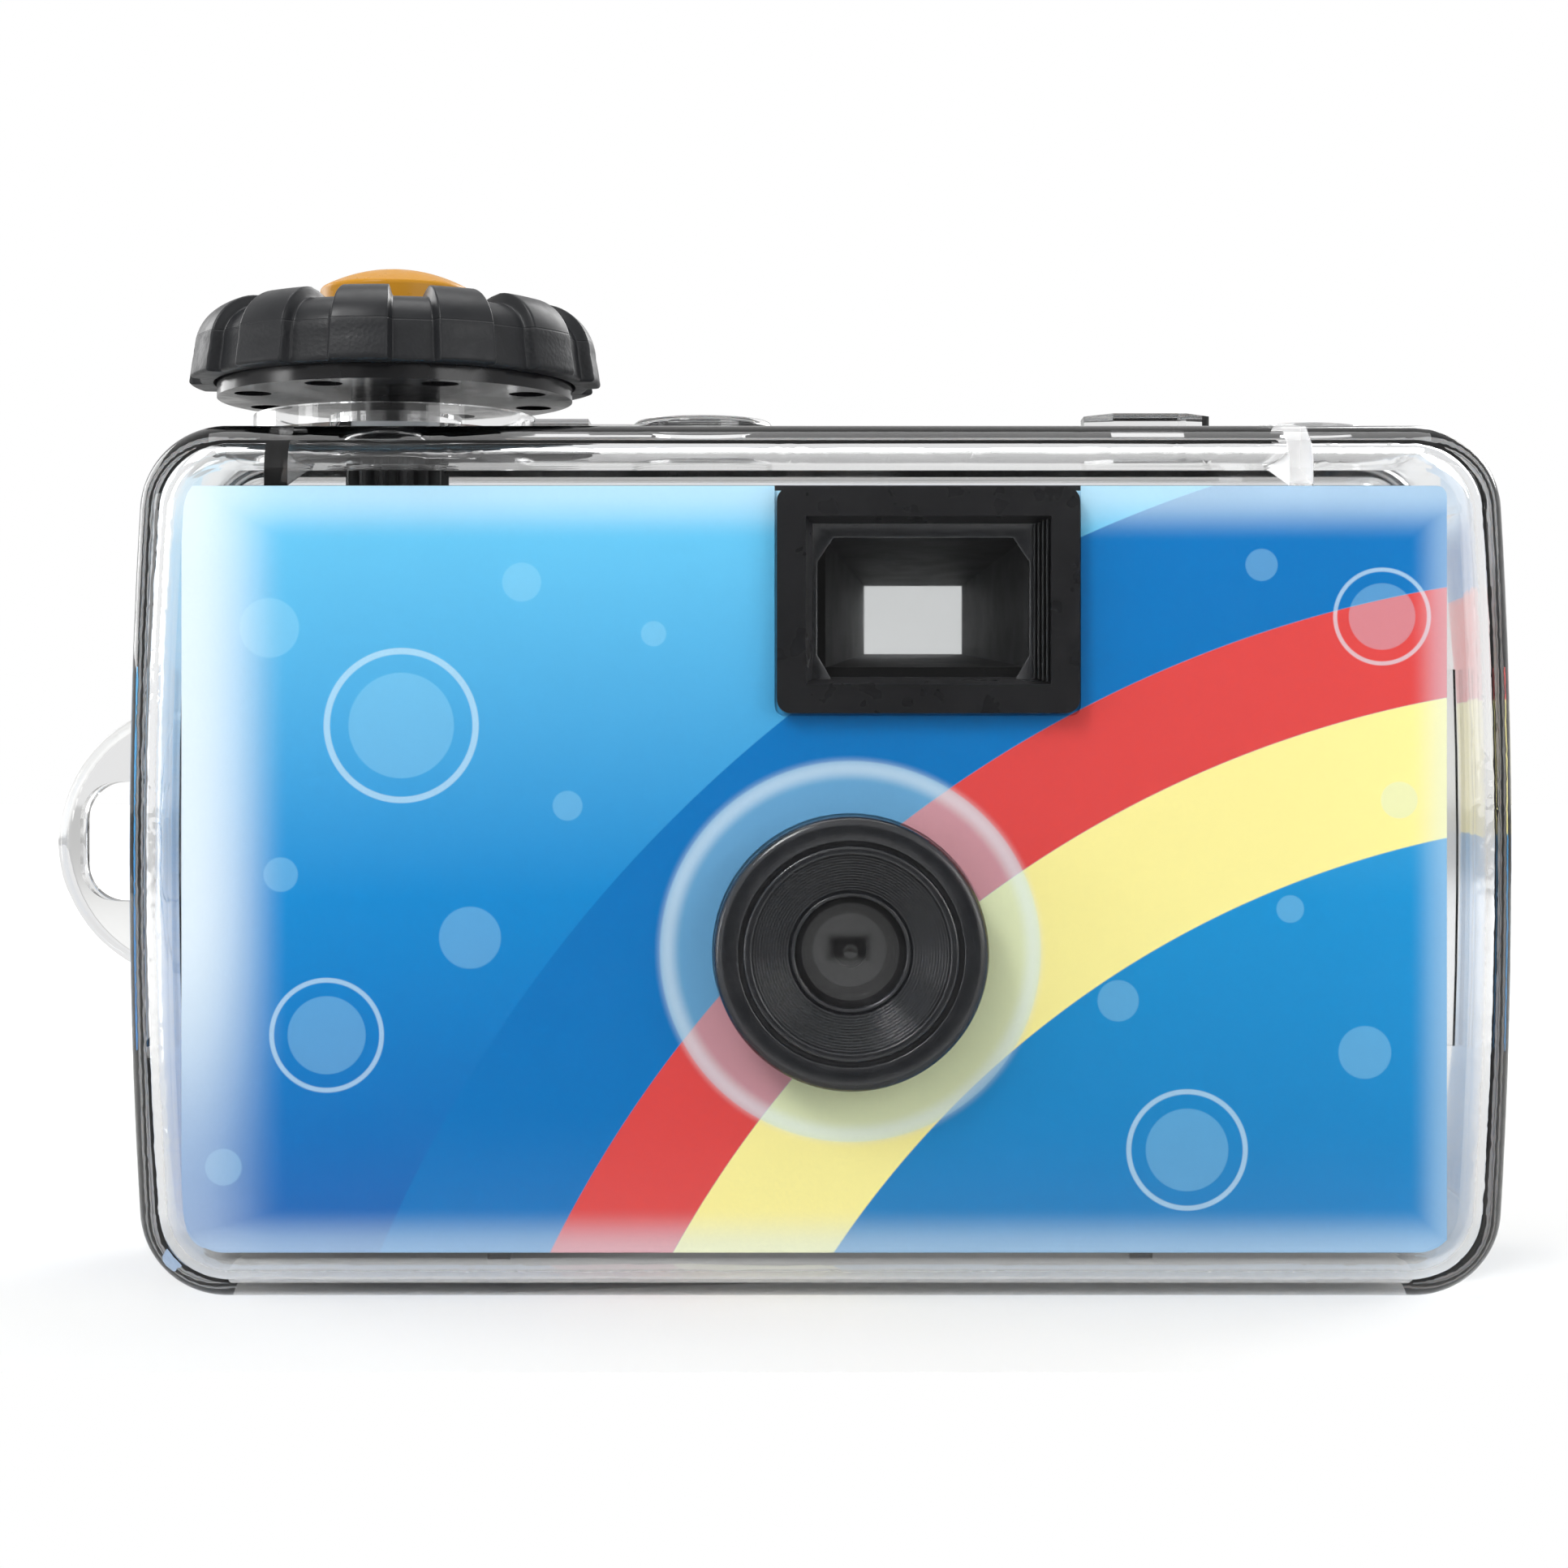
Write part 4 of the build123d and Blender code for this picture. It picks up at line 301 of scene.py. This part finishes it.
# Glossy black moulding
gloss = Surface("glossy_black", (0.012, 0.012, 0.013), 0.16)
gloss.rough(gloss.noise(0.3, seed=3.0).rise(0.3, 0.7, 0.12, 0.24))
gloss.bump(gloss.noise(0.15, detail=1.5), 0.05, 0.3)
gloss.colour(gloss.mix(gloss.noise(0.2, seed=1.0), (0.010, 0.010, 0.011), (0.018, 0.018, 0.020)))
dress(gloss, "knob_body")

# Finder moulding: a satin bezel and a dull tunnel behind it
finder = Surface("finder_black", (0.008, 0.008, 0.009), 0.3, Specular_IOR_Level=0.3)
x, y, z = finder.axes()
bezel_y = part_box("viewfinder_frame")[0][1] / MM
finder.rough(finder.noise(0.3, seed=3.0).rise(0.3, 0.7, 0.0, 0.08)
             + y.rise(bezel_y + 1.5, bezel_y + 3.0, 0.26, 0.62))
finder.colour(finder.mix(finder.noise(0.2, seed=1.0), (0.006, 0.006, 0.007), (0.011, 0.011, 0.012)))
dress(finder, "viewfinder_frame")

# Orange button
orange = Surface("orange_button", (0.66, 0.30, 0.020), 0.32, Specular_IOR_Level=0.25)
orange.rough(orange.noise(0.6, seed=5.0).rise(0.3, 0.7, 0.26, 0.4))
orange.bump(orange.noise(4.0, detail=2.0), 0.01, 0.25)
orange.colour(orange.mix(orange.noise(0.15, seed=6.0), (0.63, 0.275, 0.016), (0.70, 0.33, 0.024)))
dress(orange, "shutter_button")

# Matte black camera plastic
matte = Surface("matte_black", (0.014, 0.014, 0.015), 0.5, Specular_IOR_Level=0.3)
matte.rough(matte.noise(0.5, seed=9.0).rise(0.3, 0.7, 0.4, 0.58))
matte.bump(matte.noise(5.0, detail=3.0), 0.012, 0.5)
matte.colour(matte.mix(matte.noise(0.2, seed=8.0), (0.010, 0.010, 0.011), (0.019, 0.019, 0.020)))
dress(matte, "front_cover", "rear_cover", "chassis", "wind_wheel", "wind_gear", "sprocket", "supply_spool",
      "cassette_spool", "release_button", "latch_lever", "aperture_plate", "drive_pinion")

# Satin black lens ring
satin = Surface("satin_black", (0.008, 0.009, 0.011), 0.24, Specular_IOR_Level=0.85)
satin.rough(satin.noise(0.5, seed=3.0).rise(0.3, 0.7, 0.17, 0.23))
satin.colour(satin.mix(satin.noise(0.3, seed=1.0), (0.006, 0.007, 0.009), (0.010, 0.011, 0.013)))

# White moulded plastic
white = Surface("white_moulding", (0.72, 0.72, 0.70), 0.4)
white.rough(white.noise(0.6, seed=2.0).rise(0.3, 0.7, 0.32, 0.46))
dress(white, "plunger", "counter_dial")

# Springs and stampings
wire = Surface("spring_wire", (0.55, 0.56, 0.57), 0.25, 1.0)
wire.rough(wire.noise(2.0, stretch=(1, 1, 0.2)).rise(0.3, 0.7, 0.18, 0.38))
dress(wire, "button_spring", "blade_spring", "striker_spring")
steel = Surface("stamped_steel", (0.36, 0.37, 0.38), 0.35, 1.0)
steel.rough(steel.noise(1.5, stretch=(0.1, 1, 1)).rise(0.3, 0.7, 0.26, 0.45))
dress(steel, "shutter_striker", "cassette_caps")
black_steel = Surface("blackened_steel", (0.02, 0.02, 0.021), 0.55, 0.4)
black_steel.rough(black_steel.noise(1.5, stretch=(0.1, 1, 1)).rise(0.3, 0.7, 0.48, 0.62))
dress(black_steel, "shutter_blade")

# Printed cassette and film
printed = Surface("cassette_print", (0.10, 0.30, 0.16), 0.35)
x, y, z = printed.axes()
printed.colour(printed.mix(z.rise(38.0, 38.4), (0.07, 0.25, 0.13), (0.62, 0.60, 0.50)))
printed.rough(printed.noise(0.8).rise(0.3, 0.7, 0.28, 0.42))
dress(printed, "cassette_shell")
film = Surface("film_base", (0.055, 0.036, 0.030), 0.3)
film.rough(film.noise(0.7).rise(0.3, 0.7, 0.22, 0.4))
dress(film, "film_strip", "film_roll")

# Clear optical pieces
optic = Surface("optical_clear", (0.97, 0.98, 0.98), 0.01, IOR=1.49, Transmission_Weight=1.0)
optic.rough(optic.noise(0.2).rise(0.35, 0.75, 0.0, 0.02))
optic.let_light_through()
dress(optic, "lens", "viewfinder_lens", "eyepiece_lens", "counter_window")

# Printed card sleeve: a sea blue ground with wide arcs, pale discs and a disc round the lens, with painted
# highlights along its edges. Distances are in millimetres on the card's face, and edge is half the width of a
# printed edge.
lens_low, lens_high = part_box("lens_ring")
lens_x, lens_z = [(lens_low[k] + lens_high[k]) / 2 / MM for k in (0, 2)]
card_low, card_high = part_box("card_sleeve")
card_left, card_right = card_low[0] / MM, card_high[0] / MM
card_foot, card_top = card_low[2] / MM, card_high[2] / MM
edge = 0.07
card = Surface("printed_card", (0.02, 0.34, 0.70), 0.42, Specular_IOR_Level=0.15)
x, y, z = card.axes()


def span(x0, z0):
    """Distance from a point of the card's face, in millimetres."""
    across, up = x - x0, z - z0
    return (across * across + up * up).run("POWER", 0.5)


def within(distance, radius, soft=edge):
    return distance.rise(radius - soft, radius + soft, 1.0, 0.0)


def band(distance, inner, outer, soft=edge):
    return within(distance, outer, soft) - within(distance, inner, soft)


ground_middle, arcs_start, disc_radius, disc_rim = 34.0, 85.0, 16.6, 15.3
print_and_painted_highlight = card.mix(z.rise(card_foot, ground_middle, smooth=False), (0.003, 0.115, 0.420), (0.004, 0.250, 0.620))
print_and_painted_highlight = card.mix(z.rise(ground_middle, card_top, smooth=False), print_and_painted_highlight, (0.150, 0.600, 0.905))
sweep = span(72.0, -44.0)
inside = within(sweep, arcs_start)
print_and_painted_highlight = card.mix(inside * z.rise(8.0, 60.0, 0.22, 0.10), print_and_painted_highlight, (0.03, 0.50, 0.80))
for arc_inner, arc_outer, colour in ((arcs_start, 97.0, (1.0, 0.905, 0.340)), (97.0, 106.5, (0.755, 0.066, 0.060)),
                                     (106.5, 120.0, (0.0, 0.175, 0.505))):
    print_and_painted_highlight = card.mix(band(sweep, arc_inner, arc_outer), print_and_painted_highlight, colour)
lens_span = span(lens_x, lens_z)
fore = y.rise(-2.0, 2.0, 1.0, 0.0)
print_and_painted_highlight = card.mix(within(lens_span, disc_radius) * fore * 0.34, print_and_painted_highlight, (0.42, 0.80, 0.92))
print_and_painted_highlight = card.mix(band(lens_span, disc_rim, disc_radius, 0.6) * fore * 0.45, print_and_painted_highlight, (0.86, 0.97, 1.0))
discs = ((-48.0, 57.5, 2.6, 0), (-36.5, 49.0, 4.6, 1), (-26.0, 61.5, 1.7, 0), (-47.0, 36.0, 1.5, 0),
         (-30.5, 30.5, 2.7, 0), (-43.0, 22.0, 3.4, 1), (-22.0, 42.0, 1.3, 0), (-14.5, 57.0, 1.1, 0),
         (32.0, 12.0, 3.6, 1), (26.0, 25.0, 1.8, 0), (47.5, 20.5, 2.3, 0), (41.0, 33.0, 1.2, 0),
         (49.0, 58.5, 2.9, 1), (38.5, 63.0, 1.4, 0), (50.5, 42.5, 1.6, 0), (-52.0, 10.5, 1.6, 0))
for disc_x, disc_z, size, ringed in discs:
    reach = span(disc_x, disc_z)
    print_and_painted_highlight = card.mix(within(reach, size) * 0.22, print_and_painted_highlight, (0.45, 0.85, 1.0))
    if ringed:
        print_and_painted_highlight = card.mix(band(reach, size * 1.35, size * 1.47) * 0.5, print_and_painted_highlight, (0.72, 0.93, 1.0))
# Painted highlights stand in for light on the card's rounded edges: a white fade along the left edge of the face,
# and pale bands along the right, top and bottom edges.
face = y.rise(card_low[1] / MM - 0.2, card_low[1] / MM + 2.0, 1.0, 0.0)
left_painted_highlight = face * x.rise(card_left, card_left + 9.5, 1.0, 0.0) * z.rise(8.0, 34.0, 0.26, 0.80)
painted_edge_highlights = (face * x.rise(card_right - 3.4, card_right, 0.0, 0.35)).run(
    "MAXIMUM", z.rise(card_top - 4.5, card_top, 0.0, 0.6))
painted_edge_highlights = painted_edge_highlights.run("MAXIMUM", z.rise(card_foot, card_foot + 3.8, 0.42, 0.0))
print_and_painted_highlight = card.mix(left_painted_highlight.run("MAXIMUM", painted_edge_highlights), print_and_painted_highlight, (0.70, 0.90, 1.0))
print_and_painted_highlight = card.mix(left_painted_highlight * 0.7, print_and_painted_highlight, (0.95, 0.98, 1.0))
speckle = card.noise(6.0, detail=2.0)
card.colour(card.mix(speckle.rise(0.35, 0.65, 0.0, 0.04), print_and_painted_highlight, (0.02, 0.10, 0.22)))
card.rough(card.noise(0.4).rise(0.3, 0.7, 0.36, 0.5))
card.bump(card.noise(2.2, detail=2.0), 0.006, 0.35)
dress(card, "card_sleeve")

# The printed front sheet, with square corners, open round the finder and the lens ring
finder_low, finder_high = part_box("viewfinder_frame")
gap = 0.2
left, right, foot, top = card_left + 0.1, card_right - 0.1, card_foot - 0.25, card_top + 0.4
notch_left, notch_right = finder_low[0] / MM - gap, finder_high[0] / MM + gap
notch_foot = finder_low[2] / MM - gap
soft = 0.9
sheet = (arc((left + soft, foot + soft), soft, 180, 270, 5)
         + arc((right - soft, foot + soft), soft, 270, 360, 5)
         + arc((right - soft, top - soft), soft, 0, 90, 5) + [(notch_right, top)]
         + arc((notch_right - soft, notch_foot + soft), soft, 0, -90, 5)
         + arc((notch_left + soft, notch_foot + soft), soft, 270, 180, 5) + [(notch_left, top)]
         + arc((left + soft, top - soft), soft, 90, 180, 5))
ring_hole = arc((lens_x, lens_z), (lens_high[0] - lens_low[0]) / 2 / MM + gap, 0, 357, 119)
sheet_front, sheet_thickness = card_low[1] / MM - 0.32, 0.28
piece("front_sheet", flat_plate("front_sheet", (sheet, ring_hole), sheet_front, sheet_thickness), card, "case")

# Lens ring: rounded land, deep groove, finely ribbed cone and a rounded lip, as radius and depth
ring_r = (lens_high[0] - lens_low[0]) / 2 / MM
ring_front = lens_low[1] / MM
profile = [(ring_r, 4.98)] + arc((ring_r - 0.8, 0.8), 0.8, 0, -90, 8)
profile += arc((9.82, 0.12), 0.12, 270, 180, 3) + [(9.7, 0.55), (9.32, 0.55)]
profile += arc((9.04, 0.28), 0.28, 0, -90, 5) + arc((8.72, 0.22), 0.22, 270, 190, 4)
ribs, rib_depth = 13, 0.085
cone_top, cone_end = (8.45, 0.34), (5.35, 2.62)
for k in range(ribs * 6 + 1):
    t = k / (ribs * 6)
    lift = rib_depth * abs(math.sin(math.pi * t * ribs))
    profile.append((cone_top[0] + (cone_end[0] - cone_top[0]) * t,
                    cone_top[1] + (cone_end[1] - cone_top[1]) * t - lift))
profile += arc((5.03, 2.62), 0.22, -30, -180, 6) + [(4.8, 3.1), (4.8, 3.35), (9.5, 3.35), (9.5, 6.9)]
profile += [(10.65, 6.9), (10.65, 4.98)]
steps = 180
rings = [[(radius, depth, 360 * k / steps) for radius, depth in profile] for k in range(steps)]
barrel = grid_mesh("lens_barrel", rings, lambda radius, depth, turn: (
    lens_x + radius * math.cos(math.radians(turn)), ring_front + depth,
    lens_z + radius * math.sin(math.radians(turn))))
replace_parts(piece("lens_barrel", barrel, satin, "case"), "lens_ring")

# Finder mask: an octagonal lip behind the bezel, and the steps on the bezel's right wall
bezel_front = finder_low[1] / MM
mask_left, mask_right, mask_foot, mask_top = -0.2, 18.3, 52.75, 65.4
corner, rise = 1.4, 2.1
octagon = [(mask_left + corner, mask_foot), (mask_right - corner, mask_foot),
           (mask_right, mask_foot + rise + 0.3), (mask_right, mask_top - rise),
           (mask_right - corner, mask_top), (mask_left + corner, mask_top),
           (mask_left, mask_top - rise), (mask_left, mask_foot + rise + 0.3)]
bezel_wall = 2.6
hole_left, hole_right = finder_low[0] / MM + bezel_wall, finder_high[0] / MM - bezel_wall
hole_foot, hole_top = finder_low[2] / MM + bezel_wall, finder_high[2] / MM - bezel_wall
outer = [(hole_left, hole_foot), (hole_right, hole_foot), (hole_right, hole_top), (hole_left, hole_top)]
lip = flat_plate("finder_mask", (outer, octagon), bezel_front + 1.9, 0.4)
build = bmesh.new()
build.from_mesh(lip)
bmesh.ops.remove_doubles(build, verts=build.verts, dist=0.00001)
lip_edges = [line for line in build.edges if len(line.link_faces) == 2 and line.calc_face_angle(0) > 1.0]
bmesh.ops.bevel(build, geom=lip_edges, offset=0.00012, segments=3, profile=0.5, affect="EDGES")
build.to_mesh(lip)
build.free()
piece("finder_mask", lip, satin, "case")
step_width, step_depth, step_back, step_radius = 0.34, 0.38, bezel_front + 1.86, 0.2
for k in range(4):
    edge_x, edge_y = hole_right - step_width * (k + 1), bezel_front + 0.25 + step_depth * k
    step = arc((edge_x + step_radius, edge_y + step_radius), step_radius, 180, 270, 5)
    step += [(edge_x + step_width, edge_y), (edge_x + step_width, step_back), (edge_x, step_back)]
    low, high = hole_foot + 0.15 + 0.12 * k, hole_top - 0.15 - 0.12 * k
    levels = [[(px, py, pz) for px, py in step] for pz in (low, high)]
    walls = grid_mesh(f"finder_step_{k + 1}", levels, lambda *point: point)
    piece(f"finder_step_{k + 1}", walls, satin, "case")

# Pale floor. It begins a little before the object, and pales to white with distance.
floor_front, floor_reach = -0.055, 6
floor_mesh = bpy.data.meshes.new("floor")
floor_mesh.from_pydata([(-floor_reach, floor_front, 0), (floor_reach, floor_front, 0),
                        (floor_reach, floor_reach, 0), (-floor_reach, floor_reach, 0)], [], [(0, 1, 2, 3)])
floor = bpy.data.objects.new("floor", floor_mesh)
bpy.context.scene.collection.objects.link(floor)
paper = Surface("pale_floor", (0.62, 0.62, 0.61), 0.9, Specular_IOR_Level=0.1)
path = paper.tree.nodes.new("ShaderNodeLightPath")
seen = Field(paper.tree, path.outputs["Is Camera Ray"])
through = Field(paper.tree, path.outputs["Is Transmission Ray"])
x, y, z = paper.axes()
far = (x * x + y * y).run("POWER", 0.5)
glow = (seen * far.rise(100.0, 600.0, 0.30, 1.0)).run("MAXIMUM", through * far.rise(90.0, 400.0, 0.0, 0.25))
paper.shader.inputs["Emission Color"].default_value = (1.0, 1.0, 1.0, 1.0)
paper.tree.links.new(glow.socket, paper.shader.inputs["Emission Strength"])
floor_mesh.materials.append(paper.material)

# Room light: mid grey all round, paler behind the object, with a dark gap where the camera stands.
# Camera rays see white, and rays that leave the clear case see a pale grey.
world = bpy.data.worlds.new("studio")
bpy.context.scene.world = world
world.use_nodes = True
tree = world.node_tree
background = tree.nodes["Background"]
direction = tree.nodes.new("ShaderNodeTexCoord")
parts = tree.nodes.new("ShaderNodeSeparateXYZ")
tree.links.new(direction.outputs["Generated"], parts.inputs[0])
across, back, up = [Field(tree, parts.outputs[k]) for k in range(3)]
path = tree.nodes.new("ShaderNodeLightPath")
camera_ray = Field(tree, path.outputs["Is Camera Ray"])
through_clear = Field(tree, path.outputs["Is Transmission Ray"])
gap_up = up.run("ABSOLUTE").rise(0.10, 0.19, 1.0, 0.0)
gap_across = across.run("ABSOLUTE").rise(0.20, 0.30, 1.0, 0.0)
front = (gap_up * gap_across * back.rise(-0.5, 0.0, 1.0, 0.0)).rise(0.0, 1.0, 1.0, 0.0, smooth=False)
room = front * 0.46 + 0.03 + back.rise(0.2, 0.9, 0.0, 0.20)
pale = front * 0.78 + 0.06 - across * 0.06 - up * 0.05
strength = camera_ray.run("MAXIMUM", room).run("MAXIMUM", through_clear * pale)
tree.links.new(strength.socket, background.inputs["Strength"])
background.inputs["Color"].default_value = (1.0, 1.0, 1.0, 1.0)


def lamp(name, place, target, width, height, power):
    light = bpy.data.lights.new(name, "AREA")
    light.shape = "RECTANGLE"
    light.size, light.size_y, light.energy = width, height, power
    holder = bpy.data.objects.new(name, light)
    bpy.context.scene.collection.objects.link(holder)
    holder.location = place
    holder.rotation_euler = (Vector(target) - Vector(place)).to_track_quat("-Z", "Y").to_euler()


lamp("key", (-0.45, -0.65, 0.75), (0, 0, 0.04), 0.26, 0.36, 3.6)
lamp("fill", (0.75, -0.7, 0.35), (0, 0, 0.04), 0.6, 0.6, 2.3)
lamp("window", (-0.9, -0.32, 0.12), (0, 0, 0.05), 0.22, 0.4, 1.3)
lamp("top", (0.0, 0.1, 0.9), (0, 0, 0.04), 0.7, 0.5, 2.5)
lamp("rear", (0.55, 0.85, 0.60), (0, 0, 0.04), 0.6, 0.6, 5.0)
lamp("rear_fill", (-0.75, 0.6, 0.35), (0, 0, 0.04), 0.5, 0.5, 2.2)

# Camera level with the middle of the case
optics = bpy.data.cameras.new("camera")
optics.sensor_width, optics.lens, optics.clip_start = 36.0, 70.75, 0.01
camera = bpy.data.objects.new("camera", optics)
bpy.context.scene.collection.objects.link(camera)
camera.location = (-3.13 * MM, -285.0 * MM, 43.9 * MM)
camera.rotation_euler = (math.radians(90), 0, 0)
bpy.context.scene.camera = camera
bpy.context.scene.view_settings.view_transform = "Standard"
bpy.context.scene.cycles.max_bounces = 20
bpy.context.scene.cycles.transmission_bounces = 20
